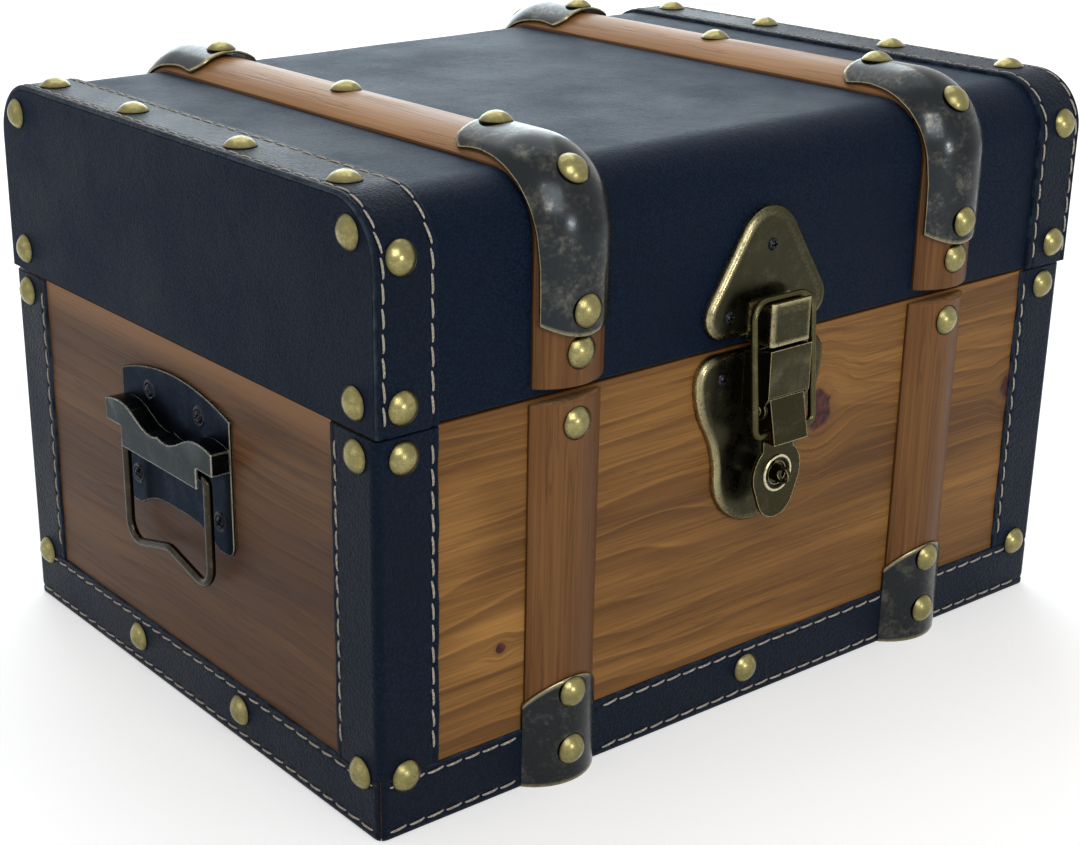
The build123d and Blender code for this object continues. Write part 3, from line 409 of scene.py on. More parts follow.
@dataclass(frozen=True)
class PebbledLeather:
    """Imitation leather: small irregular pebbles with creases between them, a soft gloss."""

    name: str = "navy_leather"
    colour: Colour = (0.0039, 0.0080, 0.0200)
    rubbed: Colour = (0.011, 0.018, 0.034)
    pebble: float = 0.75
    depth: float = 0.15
    rough: float = 0.4
    gloss: float = 0.06
    sheen: float = 0.10

    def build(self) -> bpy.types.Material:
        """Make the material.

        Returns:
            The material.
        """
        g = Graph(self.name)
        wander = g.add("TexNoise", {"Vector": g.stretch(500), "Detail": 3}, 1)
        bent = g.add("VectorMath", {0: wander, 1: (0.0011, 0.0011, 0.0011), 2: g.place},
                     operation="MULTIPLY_ADD")
        creases = g.cells(bent, 1000 / self.pebble)
        small = g.cells(bent, 2100 / self.pebble)
        folds = g.noise(170, detail=5, rough=0.62)
        cloud = g.noise(28, rough=0.6)
        normal = g.relief(g.blend(creases, -0.75, small, -0.25), self.depth, 0.8)
        worn = g.times(g.own("edge"), g.span(folds, 0.4, 0.65, 0.15, 0.8))
        colour = g.mix(g.span(cloud, 0.35, 0.7), self.colour, dim(self.colour, 1.45))
        # darker in the creases between the pebbles: painted shade
        colour = g.mix(g.span(creases, 0.25, 0.6), colour, dim(self.colour, 0.6))
        rough = g.plus(g.span(cloud, 0.3, 0.75, self.rough, self.rough + 0.13), g.times(creases, 0.10))
        g.shade(Base_Color=g.mix(worn, colour, self.rubbed), Roughness=rough,
                Normal=g.relief(folds, 0.35, 0.55, normal),
                Specular_IOR_Level=self.gloss, Specular_Tint=(0.62, 0.85, 1.0),
                Sheen_Weight=self.sheen, Sheen_Roughness=0.3, Sheen_Tint=(0.35, 0.62, 1.0))
        return g.material


@dataclass(frozen=True)
class AgedMetal:
    """Antiqued metal: dark patina, clouds and specks, rubbed bright along its edges.

    mottle is the size of the clouds, edge the width of the rubbed edges and grit the depth of the
    roughness, all in mm. inner paints shade, near black, on what the mesh marks as foot: the rims of
    studs, the recesses of screws and the hollow of an eyelet. scatter makes the rubbed parts less
    mirror-like, so that their pale colour stands as painted highlights along the edges, and grazing
    tints what is mirrored at a low angle.
    """

    name: str
    dark: Colour
    bright: Colour
    rubbed: Colour
    mottle: float = 3.0
    share: float = 0.5
    rough: float = 0.3
    edge: float = 0.5
    edge_share: float = 0.9
    specks: float = 0.5
    grit: float = 0.02
    inner: float = 0.0
    painted_highlight: float = 0.0
    grazing: Colour = (1.0, 1.0, 1.0)

    def build(self) -> bpy.types.Material:
        """Make the material.

        Returns:
            The material.
        """
        g = Graph(self.name)
        size = 1000 / self.mottle
        cloud = g.noise(size, detail=5, rough=0.62, bend=0.2)
        grain = g.noise(size * 6, move=(2.0, 3.0, 5.0), detail=3, rough=0.6)
        marks = g.noise((size * 1.2, size * 9, size * 9), move=(9.0, 1.0, 4.0), detail=3)
        tone = g.plus(cloud, g.times(g.sums("SUBTRACT", grain, 0.5), 0.55))
        middle = self.share * 0.6
        colour = g.mix(g.span(tone, 0.75 - middle, 1.15 - middle), self.dark, self.bright)
        spots = g.span(g.cells(g.stretch(size * 2.3), 1.0), 0.08, 0.2, 1.0, 0.0)
        spots = g.times(spots, g.span(grain, 0.45, 0.6, 0.0, self.specks))
        colour = g.mix(spots, colour, dim(self.dark, 0.35))
        # bright along the edges: rubbed wear on most metals; on the handles, where scatter takes the metal
        # away, the pale edges are painted highlights
        worn = g.sums("MAXIMUM", g.edges(self.edge), g.own("edge"))
        worn = g.times(worn, g.span(grain, 0.28, 0.5, 0.35, self.edge_share))
        colour = g.mix(worn, colour, self.rubbed)
        # painted shade: what the mesh marks as foot goes near black
        if self.inner > 0:
            colour = g.mix(g.times(g.own("foot"), self.inner), colour, (0.006, 0.005, 0.004))
        rough = g.span(tone, 0.3, 0.75, self.rough + 0.12, self.rough - 0.05)
        rough = g.sums("ADD", rough, g.times(spots, 0.3), clamp=True)
        # the rubbed edges lose their metal, so their pale colour shows as painted highlights
        metallic = g.sums("SUBTRACT", 1.0, g.times(worn, self.painted_highlight)) if self.painted_highlight else 1.0
        g.shade(Base_Color=colour, Metallic=metallic, Roughness=rough, Specular_Tint=self.grazing,
                Normal=g.relief(g.blend(grain, 0.6, marks, 0.4), self.grit))
        return g.material


@dataclass(frozen=True)
class WaxedThread:
    """Pale waxed thread, twisted."""

    name: str = "waxed_thread"
    light: Colour = (0.40, 0.36, 0.30)
    dark: Colour = (0.16, 0.135, 0.11)

    def build(self) -> bpy.types.Material:
        """Make the material.

        Returns:
            The material.
        """
        g = Graph(self.name)
        twist = g.noise(1900, detail=2)
        age = g.span(g.noise(60, detail=3), 0.4, 0.7, 0.0, 0.6)
        colour = g.mix(g.span(twist, 0.35, 0.65), self.dark, self.light)
        g.shade(Base_Color=g.mix(age, colour, dim(self.light, 0.6)), Roughness=0.75,
                Normal=g.relief(twist, 0.12, 0.8))
        return g.material


@dataclass(frozen=True)
class PaleFloor:
    """A plain pale floor that goes to white in the picture and keeps the shadow."""

    name: str = "pale_floor"
    colour: Colour = (0.86, 0.86, 0.86)
    lift: float = 0.32

    def build(self) -> bpy.types.Material:
        """Make the material.

        Returns:
            The material.
        """
        g = Graph(self.name)
        colour = g.mix(g.span(g.noise(14), 0.3, 0.7), self.colour, dim(self.colour, 0.985))
        g.shade(Base_Color=colour, Roughness=0.9, Specular_IOR_Level=0.1)
        path = g.add("LightPath", {}).node.outputs
        seen = g.sums("MAXIMUM", path["Is Camera Ray"], path["Is Glossy Ray"])
        seen = g.sums("MAXIMUM", seen, path["Is Transmission Ray"])
        g.shade(Emission_Color=(1.0, 1.0, 1.0), Emission_Strength=g.times(seen, self.lift))
        return g.material


# ---------------------------------------------------------------------------------------------
# surfaces and pieces
# ---------------------------------------------------------------------------------------------
@dataclass
class Surface:
    """A grid of points: rows along the first parameter, columns along the second.

    wrap joins the last column to the first, and caps closes the first and last row by a middle
    point. marks are values per point that the materials read.
    """

    points: np.ndarray
    wrap: bool = False
    caps: bool = False
    marks: dict[str, np.ndarray] = field(default_factory=dict)

    def arrays(self) -> tuple[np.ndarray, np.ndarray, np.ndarray, np.ndarray, dict[str, np.ndarray]]:
        """Work out the mesh.

        Returns:
            Points, quads, texture places per corner, a mark per quad that is 1 on caps, and marks
            per point.
        """
        points = self.points
        marks = {key: np.broadcast_to(value, points.shape[:2]) for key, value in self.marks.items()}
        if self.caps:
            first = np.broadcast_to(points[:1].mean(axis=1, keepdims=True), points[:1].shape)
            last = np.broadcast_to(points[-1:].mean(axis=1, keepdims=True), points[:1].shape)
            points = np.concatenate([first, points, last])
            marks = {key: np.concatenate([v[:1], v, v[-1:]]) for key, v in marks.items()}
        looped = np.concatenate([points, points[:, :1]], axis=1) if self.wrap else points
        index = np.arange(points.shape[0] * points.shape[1]).reshape(points.shape[:2])
        ring = np.concatenate([index, index[:, :1]], axis=1) if self.wrap else index
        quads = np.stack([ring[:-1, :-1], ring[:-1, 1:], ring[1:, 1:], ring[1:, :-1]], axis=-1)
        cut = np.zeros(quads.shape[:2])
        if self.caps:
            cut[[0, -1]] = 1
        across = np.linalg.norm(np.diff(looped, axis=1), axis=2).max(axis=0)
        along = np.linalg.norm(np.diff(looped, axis=0), axis=2).max(axis=1)
        u = np.concatenate([[0], np.cumsum(across)]) * MM
        v = np.concatenate([[0], np.cumsum(along)]) * MM
        grid = np.stack(np.broadcast_arrays(u[None, :], v[:, None]), axis=-1)
        corners = np.stack([grid[:-1, :-1], grid[:-1, 1:], grid[1:, 1:], grid[1:, :-1]], axis=2)
        return (points.reshape(-1, 3), quads.reshape(-1, 4), corners.reshape(-1, 2), cut.reshape(-1),
                {key: np.asarray(value).reshape(-1) for key, value in marks.items()})


@dataclass
class Piece:
    """One named object of the scene, made of surfaces."""

    name: str
    surfaces: list[Surface]
    body: Body
    slot: str
    replaces: tuple[str, ...] = ()
    smooth: float = 38.0

    def make(self, material: bpy.types.Material) -> bpy.types.Object:
        """Write the mesh, close its seams, turn its faces outwards and bind it to its body.

        Args:
            material: its finish.

        Returns:
            The object.
        """
        parts = [surface.arrays() for surface in self.surfaces]
        starts = np.cumsum([0] + [len(part[0]) for part in parts[:-1]])
        points = np.concatenate([part[0] for part in parts]) * MM
        quads = np.concatenate([part[1] + start for part, start in zip(parts, starts)])
        corners = np.concatenate([part[2] for part in parts])
        cuts = np.concatenate([part[3] for part in parts])
        mesh = bpy.data.meshes.new(self.name)
        mesh.vertices.add(len(points))
        mesh.vertices.foreach_set("co", points.astype(np.float32).ravel())
        mesh.loops.add(quads.size)
        mesh.loops.foreach_set("vertex_index", quads.astype(np.int32).ravel())
        mesh.polygons.add(len(quads))
        mesh.polygons.foreach_set("loop_start", np.arange(0, quads.size, 4, dtype=np.int32))
        mesh.update(calc_edges=True)
        mesh.uv_layers.new(name="UVMap").data.foreach_set("uv", corners.astype(np.float32).ravel())
        mesh.attributes.new("cut", "FLOAT", "FACE").data.foreach_set("value", cuts.astype(np.float32))
        for key in sorted({key for part in parts for key in part[4]}):
            values = np.concatenate([part[4].get(key, np.zeros(len(part[0]))) for part in parts])
            mesh.attributes.new(key, "FLOAT", "POINT").data.foreach_set("value", values.astype(np.float32))
        mesh.validate()
        shape = bmesh.new()
        shape.from_mesh(mesh)
        bmesh.ops.remove_doubles(shape, verts=shape.verts, dist=2e-6)
        bmesh.ops.recalc_face_normals(shape, faces=shape.faces)
        shape.to_mesh(mesh)
        shape.free()
        mesh.materials.append(material)
        return stand(self.name, mesh, self.smooth, self.body, self.replaces)


def stand(name: str, mesh: bpy.types.Mesh, smooth: float, body: Body,
          replaces: tuple[str, ...]) -> bpy.types.Object:
    """Put a finished mesh in the scene and tie it to its body and what it stands for.

    Args:
        name: name of the object.
        mesh: the mesh.
        smooth: angle in degrees above which an edge stays sharp.
        body: the body that it moves with.
        replaces: nodes that it stands for.

    Returns:
        The object.
    """
    mesh.shade_smooth()
    mesh.set_sharp_from_angle(angle=math.radians(smooth))
    piece = bpy.data.objects.new(name, mesh)
    bpy.context.scene.collection.objects.link(piece)
    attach(piece, body.value)
    if replaces:
        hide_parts(*replaces)
    LOG.info("%s: %d faces on %s", piece.name, len(mesh.polygons), body.value)
    return piece


def dress(material: bpy.types.Material, *nodes: str) -> None:
    """Give nodes that stay as packed their finish.

    Args:
        material: the finish.
        nodes: names of the nodes.
    """
    for name in nodes:
        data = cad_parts[name].data
        data.materials.clear()
        data.materials.append(material)
        LOG.info("%s: finish %s", name, material.name)


def soften(node: str, name: str, body: Body, material: bpy.types.Material, width: float) -> None:
    """A copy of a node with merged faces and rounded edges, standing for that node.

    Args:
        node: the node.
        name: name of the copy.
        body: the body that it moves with.
        material: its finish.
        width: width of the rounded edges in mm.
    """
    limit = 32.0
    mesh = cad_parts[node].data.copy()
    mesh.name = name
    shape = bmesh.new()
    shape.from_mesh(mesh)
    bmesh.ops.remove_doubles(shape, verts=shape.verts, dist=4e-6)
    bmesh.ops.dissolve_limit(shape, angle_limit=math.radians(1.0), verts=shape.verts, edges=shape.edges)
    shape.to_mesh(mesh)
    shape.free()
    mesh.materials.clear()
    mesh.materials.append(material)
    piece = stand(name, mesh, limit, body, (node,))
    bevel = piece.modifiers.new("rounded_edges", "BEVEL")
    bevel.width = width * MM
    bevel.segments = 2
    bevel.limit_method = "ANGLE"
    bevel.angle_limit = math.radians(limit)
    bevel.use_clamp_overlap = True
    bevel.harden_normals = True
    bevel.miter_outer = "MITER_ARC"


def flipped(surface: Surface, x: int = 1, y: int = 1) -> Surface:
    """The same surface with left and right, or front and back, swapped where the sign is -1."""
    return Surface(surface.points * np.array([x, y, 1.0]), surface.wrap, surface.caps, surface.marks)


def revolved(radii: np.ndarray, heights: np.ndarray, places: np.ndarray, axes: np.ndarray, sides: int,
             marks: dict[str, np.ndarray] | None = None, dent: np.ndarray | float = 0.0,
             turn: np.ndarray | float = 0.0, caps: bool = True) -> list[Surface]:
    """A profile turned round an axis at many places.

    A point lies at its place plus height times the axis, plus radius times the turned direction
    square to the axis.

    Args:
        radii: radius of each profile point.
        heights: height of each profile point.
        places: middle of each copy.
        axes: axis of each copy.
        sides: steps round.
        marks: values per profile point, or per point and step.
        dent: drop of each point of the profile by angle.
        turn: start angle of each copy.
        caps: close both ends.

    Returns:
        One surface for each place.
    """
    axes = axes / np.linalg.norm(axes, axis=1, keepdims=True)
    helper = np.where(np.abs(axes[:, 2:3]) > 0.9, [[0.0, 1.0, 0.0]], [[0.0, 0.0, 1.0]])
    right = np.cross(helper, axes)
    right /= np.linalg.norm(right, axis=1, keepdims=True)
    up = np.cross(axes, right)
    angle = np.linspace(0, 2 * np.pi, sides, endpoint=False)
    spin = angle[None, :] + (np.zeros(len(places)) + turn)[:, None]
    way = np.cos(spin)[..., None] * right[:, None] + np.sin(spin)[..., None] * up[:, None]
    high = heights[:, None] - (np.zeros((len(radii), sides)) + dent)
    grid = (places[:, None, None] + high[None, :, :, None] * axes[:, None, None]
            + radii[None, :, None, None] * way[:, None])
    columns = {key: value.reshape(len(radii), -1) for key, value in (marks or {}).items()}
    return [Surface(points, wrap=True, caps=caps, marks=columns) for points in grid]


def tube(path: np.ndarray, radius: float) -> Surface:
    """A round wire along a path in one plane.

    A point lies on the path plus radius times the turned direction square to it.

    Args:
        path: points of the middle line.
        radius: radius of the wire.

    Returns:
        The surface.
    """
    tangent = np.gradient(path, axis=0)
    tangent /= np.linalg.norm(tangent, axis=1, keepdims=True)
    flat = np.linalg.svd(path - path.mean(axis=0), full_matrices=False)[2][2]
    side = np.cross(tangent, flat)
    side /= np.linalg.norm(side, axis=1, keepdims=True)
    angle = np.linspace(0, 2 * np.pi, 18, endpoint=False)
    ring = np.cos(angle)[:, None] * flat + np.sin(angle)[None, :, None] * side[:, None]
    return Surface(path[:, None] + radius * ring, wrap=True, caps=True)


def bent_path(corners: np.ndarray, radii: list[float]) -> np.ndarray:
    """Straight runs joined by round bends.

    Each corner is cut back on both sides by radius times the tangent of half its turn, and the
    bend between is an arc that touches both runs.

    Args:
        corners: points of the sharp path.
        radii: bend radius at every inner corner.

    Returns:
        Points along the path.
    """
    bend_step, run_step = 0.6, 3.0
    pieces = [corners[:1]]
    for before, here, after, radius in zip(corners[:-2], corners[1:-1], corners[2:], radii):
        one = (before - here) / np.linalg.norm(before - here)
        two = (after - here) / np.linalg.norm(after - here)
        half = math.acos(float(np.clip(one @ two, -1, 1))) / 2
        back = radius / math.tan(half)
        middle = here + (one + two) / np.linalg.norm(one + two) * radius / math.sin(half)
        start = here + one * back - middle
        end = here + two * back - middle
        sweep = math.pi - 2 * half
        t = np.linspace(0, 1, max(4, int(radius * sweep / bend_step)))[:, None]
        pieces.append(middle + (np.sin((1 - t) * sweep) * start + np.sin(t * sweep) * end) / math.sin(sweep))
    path = np.concatenate([*pieces, corners[-1:]])
    lengths = np.concatenate([[0], np.cumsum(np.linalg.norm(np.diff(path, axis=0), axis=1))])
    fill = np.unique(np.concatenate([lengths, np.arange(0, lengths[-1], run_step)]))
    fill = fill[np.concatenate([[True], np.diff(fill) > 0.08])]
    return np.stack([np.interp(fill, lengths, path[:, i]) for i in range(3)], axis=1)


def joined(x: np.ndarray, y: np.ndarray, z: np.ndarray) -> np.ndarray:
    """Points from their three coordinates."""
    return np.stack(np.broadcast_arrays(x, y, z), axis=-1)


@dataclass(frozen=True)
class Chest:
    """Sizes of the whole chest that the classes share.

    strip, foot and band are widths of the leather round the corners, the foot and the lid's ends,
    seam is how far its stitches stay inside its edges, and slat sizes are those of the straps.
    """

    half_width: float = 150.0
    half_depth: float = 110.0
    rim: float = 126.0
    lid_low: float = 127.0
    lid_top: float = 191.5
    lid_radius: float = 18.0
    corner: float = 3.0
    leather: float = 1.0
    strip: float = 22.0
    foot: float = 20.0
    band: float = 21.0
    band_rise: float = 1.5
    seam: float = 2.3
    slat_x: float = 82.0
    slat_half: float = 13.5
    slat_rise: float = 6.5
    back_drop: float = 11.0
    elbow_rise: float = 9.0
    shoe_rise: float = 7.65
    latch_x: float = -2.0

    @property
    def wood_front(self) -> float:
        """Distance of the front wood from the middle."""
        return self.half_depth - self.leather

    @property
    def bend_y(self) -> float:
        """Distance of the lid's bend centres from the middle."""
        return self.half_depth - self.lid_radius

    @property
    def bend_z(self) -> float:
        """Height of the lid's bend centres."""
        return self.lid_top - self.lid_radius

    @property
    def over(self) -> Triple:
        """Lengths over the lid: the upright part, one bend and the flat top."""
        return self.bend_z - self.lid_low, self.lid_radius * math.pi / 2, 2 * self.bend_y

    @property
    def lid_length(self) -> float:
        """Length of the leather over the whole lid."""
        rise, arc, flat = self.over
        return 2 * rise + 2 * arc + flat

    def over_lid(self, s: np.ndarray, x: np.ndarray, out: np.ndarray) -> np.ndarray:
        """Points over the lid, from its front lower edge over the top to its back lower edge.

        The direction outwards turns by a quarter on each bend while the centre it starts from
        stays, and it keeps while the centre moves along the straight parts.

        Args:
            s: distance along the leather.
            x: place along the width.
            out: distance outside the leather.

        Returns:
            The points, with a last axis of three.
        """
        rise, arc, flat = self.over
        radius = self.lid_radius
        turn = np.clip((s - rise) / radius, 0, np.pi / 2)
        turn = turn + np.clip((s - rise - arc - flat) / radius, 0, np.pi / 2)
        y = -self.bend_y + np.clip(s - rise - arc, 0, flat)
        z = np.minimum(self.lid_low + s, self.bend_z) - np.maximum(s - rise - 2 * arc - flat, 0)
        far = radius + out
        return joined(x, y - far * np.cos(turn), z + far * np.sin(turn))

    def lid_rows(self) -> np.ndarray:
        """Distances along the lid's leather, close together on its bends.

        Returns:
            The distances.
        """
        rise, arc, flat = self.over
        bend = np.arange(1.0, arc, 1.0)
        marks = np.concatenate([
            np.linspace(0, 2, 4), np.linspace(5, rise, 14), rise + bend,
            np.linspace(rise + arc, rise + arc + flat, 50), rise + arc + flat + bend,
            np.linspace(rise + 2 * arc + flat, self.lid_length - 5, 14),
            self.lid_length - np.linspace(2, 0, 4),
        ])
        return np.unique(np.round(marks, 4))

    @property
    def around(self) -> Triple:
        """Lengths round the base: a quarter bend, the front and one end."""
        return (self.corner * math.pi / 2, 2 * (self.half_width - self.corner),
                2 * (self.half_depth - self.corner))

    @property
    def girth(self) -> float:
        """Length once round the base."""
        bend, front, side = self.around
        return 4 * bend + 2 * front + 2 * side

    @property
    def fold(self) -> tuple[float, float]:
        """Where a corner strip's middle lies round the base, and half its unfolded width."""
        bend, front, _ = self.around
        return front + bend, bend / 2 + self.strip - self.corner

    def round_base(self, s: np.ndarray, z: np.ndarray, out: np.ndarray) -> np.ndarray:
        """Points round the base, from the middle of the near left corner along the front.

        As over the lid: the direction outwards turns on the four bends and the centre that it
        starts from moves on the straight parts; inside the bends the sides meet in a mitre.

        Args:
            s: distance along the leather.
            z: height.
            out: distance outside the leather.

        Returns:
            The points.
        """
        bend, front, side = self.around
        radius = self.corner
        ends = np.cumsum([bend / 2, front, bend, side, bend, front, bend, side])
        bends = ((0, bend / 2), (ends[1], bend), (ends[3], bend), (ends[5], bend), (ends[7], bend / 2))
        turn = sum(np.clip(s - start, 0, length) for start, length in bends)
        angle = np.radians(225) + turn / radius
        x = -self.half_width + radius + np.clip(s - ends[0], 0, front) - np.clip(s - ends[4], 0, front)
        y = -self.half_depth + radius + np.clip(s - ends[2], 0, side) - np.clip(s - ends[6], 0, side)
        far = np.maximum(radius + out, 0)
        wide, deep = self.half_width + out, self.half_depth + out
        return joined(np.clip(x + far * np.cos(angle), -wide, wide),
                      np.clip(y + far * np.sin(angle), -deep, deep), z)


CHEST = Chest()


def quilted(across: np.ndarray, lines: tuple[float, ...], depth: float, reach: float) -> np.ndarray:
    """How far leather is drawn in along its stitch lines: a bell curve over each line.

    Args:
        across: places across the strip.
        lines: places of the stitch lines.
        depth: depth of the dip.
        reach: half width of the dip.

    Returns:
        The drop at each place.
    """
    return sum(depth * np.exp(-(((across - line) / reach) ** 2)) for line in lines)


def rounded_off(across: np.ndarray, radius: float, low: float = 0.0, high: float = math.inf) -> np.ndarray:
    """Drop near the ends of a strip that gives it quarter-round edges.

    Args:
        across: places across the strip.
        radius: radius of the edges.
        low: first end.
        high: last end.

    Returns:
        The drop at each place.
    """
    into = np.clip(np.maximum(low + radius - across, across - high + radius) / radius, 0, 1)
    return radius * (1 - np.sqrt(np.clip(1 - into**2, 0, 1)))


def strip_section(low: float, high: float, top: float, under: float, lines: tuple[float, ...],
                  dip: float = 0.28, edge: float = 0.6,
                  turns: tuple[float, ...] = ()) -> tuple[np.ndarray, np.ndarray, np.ndarray]:
    """Closed section of a leather strip.

    Args:
        low: first edge.
        high: last edge.
        top: height of its face.
        under: height of its back.
        lines: places of the stitch lines.
        dip: how deep the lines are drawn in.
        edge: radius of its edges.
        turns: places where its back turns a corner, from high to low.

    Returns:
        Places across, heights, and a mark that is 1 along the two edges.
    """
    step, reach, worn = 0.42, 0.75, 0.5
    near = edge * np.array([0, 0.04, 0.15, 0.35, 0.65, 1.0])
    inner = np.linspace(low + edge, high - edge, max(8, int((high - low) / step)))[1:-1]
    across = np.concatenate([low + near, inner, high - near[::-1]])
    height = top - rounded_off(across, edge, low, high) - quilted(across, lines, dip, reach)
    mark = np.clip(1 - np.minimum(across - low, high - across) / worn, 0, 1)
    back = np.array([high, *turns, low])
    return (np.concatenate([across, back]), np.concatenate([height, np.full(len(back), under)]),
            np.concatenate([mark, np.ones(len(back))]))


def split(places: list[Place]) -> tuple[np.ndarray, np.ndarray]:
    """Places and directions of studs or screws as two arrays."""
    return np.array([place[0] for place in places], float), np.array([place[1] for place in places], float)


# ---------------------------------------------------------------------------------------------
# sub-assemblies
# ---------------------------------------------------------------------------------------------
@dataclass
class Boards:
    """The wooden boards of the base and of the lid, which stay as packed."""

    front: StainedPine = StainedPine(
        "front_pine", Grain.WIDTH, light=(0.265, 0.128, 0.034), middle=(0.168, 0.077, 0.0195),
        dark=(0.085, 0.036, 0.0105), band=5.5, rings=9.5,
        pale=((-104.5, 52.0, 28.0, 18.0), (-124.0, 88.0, 24.0, 26.0)),
        knots=((28.2, 96.0, 6.0, 7.2), (127.5, 83.5, 3.2, 4.4), (-104.5, 49.9, 1.8, 1.6)))
    # the end boards are the same pine as the front boards in darker colours: painted shade, as the ends catch
    # less light than the front
    end: StainedPine = StainedPine(
        "end_pine_painted_shade", Grain.DEPTH, light=(0.142, 0.070, 0.029), middle=(0.090, 0.041, 0.0175),
        dark=(0.045, 0.019, 0.010), band=6.5, rings=7.5, fade=0.32, rim=CHEST.rim)
    floor: StainedPine = StainedPine(
        "floor_pine", Grain.WIDTH, light=(0.34, 0.17, 0.07), middle=(0.25, 0.115, 0.046),
        dark=(0.15, 0.065, 0.027), band=6.0)

    def build(self) -> None:
        """Give every board its finish."""
        dress(self.front.build(), "base_front_board", "base_back_board", "lid_front_board", "lid_back_board")
        dress(self.end.build(), "base_left_board", "base_right_board", "lid_left_board", "lid_right_board")
        dress(self.floor.build(), "base_floor_board", "lid_top_board")


@dataclass
class Leatherwork:
    """Leather edging of the base, covering of the lid and its two stitched bands."""

    tuck: float = 12.0
    gap: float = 0.25

    def corner_strips(self) -> list[Piece]:
        """Upright strips folded round the four corners.

        Returns:
            The pieces.
        """
        middle, half = CHEST.fold
        bend, foot, rim = CHEST.around[0], CHEST.foot, CHEST.rim
        across, height, mark = strip_section(
            -half, half, 0.0, -CHEST.leather, (-half + CHEST.seam, half - CHEST.seam),
            turns=(bend / 2, bend / 4, 0.0, -bend / 4, -bend / 2))
        z = np.concatenate([np.linspace(foot + 0.02, foot + 1, 4), np.linspace(foot + 4, rim - 4, 40),
                            np.linspace(rim - 1, rim - 0.02, 4)])
        wander = 0.16 * np.sin(z * 0.21) + 0.1 * np.sin(z * 0.53 + 1)
        at = across[None, :] * (1 + wander[:, None] / half)
        end = np.minimum(z - foot, rim - z)[:, None]
        out = np.where(height > 0.01 - CHEST.leather, height - rounded_off(end, 0.5), height)
        surface = Surface(CHEST.round_base(middle + at, z[:, None], out), wrap=True, caps=True,
                          marks={"edge": mark[None, :]})
        return [Piece(f"corner_strip_{depth}_{side}", [flipped(surface, x, y)], Body.BASE, "navy_leather",
                      (f"corner_leather_{depth}_{side}",))
                for (depth, y), (side, x) in product(FACES, SIDES)]

    def foot_strip(self) -> Piece:
        """Strip round the foot, folded under the boards, with a butt joint at the near corner.

        Returns:
            The piece.
        """
        foot, skin, seam, gap = CHEST.foot, CHEST.leather, CHEST.seam, self.gap
        across, height, mark = strip_section(0.35, foot, 0.0, -skin, (seam + 0.4, foot - seam))
        keep = slice(6, -2)
        z = np.concatenate([[0.0, 0.0, 0.05, 0.25, 0.55], across[keep], [foot, skin, skin]])
        out = np.concatenate([[-self.tuck, -1.2, -0.65, -0.3, -0.08], height[keep],
                              [-skin, -skin, -self.tuck]])
        tone = np.concatenate([np.zeros(5), mark[keep], [1.0, 0, 0]])
        bend, front, side = CHEST.around
        stops = np.cumsum([gap, bend / 2 - gap, front, bend, side, bend, front, bend, side, bend / 2 - gap])
        runs = [np.linspace(start, stop, 9 if stop - start < 10 else 45)[1:]
                for start, stop in zip(stops[:-1], stops[1:])]
        s = np.concatenate([stops[:1], *runs])
        wave = 0.12 * np.sin(s * 0.13) + 0.08 * np.sin(s * 0.41 + 2)
        lift = np.where(z > foot - 5, (z - foot + 5) / 5, 0)
        grid = CHEST.round_base(s[:, None], z[None, :] + wave[:, None] * lift[None, :], out[None, :])
        grid[..., 2] = np.minimum(grid[..., 2], foot)
        return Piece("foot_strip", [Surface(grid, wrap=True, caps=True, marks={"edge": tone[None, :]})],
                     Body.BASE, "navy_leather", ("foot_leather",))

    def cover(self) -> Piece:
        """Smooth covering over the front, top and back of the lid.

        Returns:
            The piece.
        """
        steps = 40
        s = CHEST.lid_rows()
        half = CHEST.half_width - CHEST.leather
        x = np.concatenate([np.linspace(-half, half, steps), [half, -half]])
        roll = rounded_off(np.minimum(s, CHEST.lid_length - s), 0.8)
        ripple = 0.05 * np.sin(x[None, :steps] * 0.11 + s[:, None] * 0.03) - 0.05
        out = np.full((len(s), len(x)), -CHEST.leather)
        out[:, :steps] = ripple - roll[:, None]
        grid = CHEST.over_lid(s[:, None], x[None, :], out)
        return Piece("lid_cover", [Surface(grid, wrap=True, caps=True)], Body.LID, "navy_leather",
                     ("lid_cover_leather",))

    def bands(self) -> list[Piece]:
        """Stitched bands over both ends of the lid.

        Returns:
            The pieces.
        """
        low, high, inner = -CHEST.half_width, -CHEST.half_width + CHEST.band, 6
        across, height, mark = strip_section(
            low, high, CHEST.band_rise, -0.2, (low + CHEST.seam, high - CHEST.seam), dip=0.34, edge=0.9)
        s = CHEST.lid_rows()
        wander = 0.14 * np.sin(s * 0.17) + 0.1 * np.sin(s * 0.47 + 1)
        share = np.where(across > high - inner, (across - high + inner) / inner, 0)
        x = np.minimum(across[None, :] + share[None, :] * wander[:, None], high + 0.02)
        surface = Surface(CHEST.over_lid(s[:, None], x, height[None, :]), wrap=True, caps=True,
                          marks={"edge": mark[None, :]})
        return [Piece(f"stitched_band_{side}", [flipped(surface, x=-sign)], Body.LID, "navy_leather",
                      (f"lid_band_{side}",)) for side, sign in SIDES]

    def build(self) -> None:
        """Make and dress all the leather."""
        leather = PebbledLeather().build()
        strips = PebbledLeather("strip_leather", colour=(0.0031, 0.0062, 0.0160),
                                rubbed=(0.040, 0.052, 0.072), pebble=1.05, depth=0.38, rough=0.28,
                                gloss=0.08, sheen=0.02).build()
        self.cover().make(leather)
        for piece in [*self.corner_strips(), self.foot_strip(), *self.bands()]:
            piece.make(strips)
        dress(leather, "lid_end_leather_left", "lid_end_leather_right")


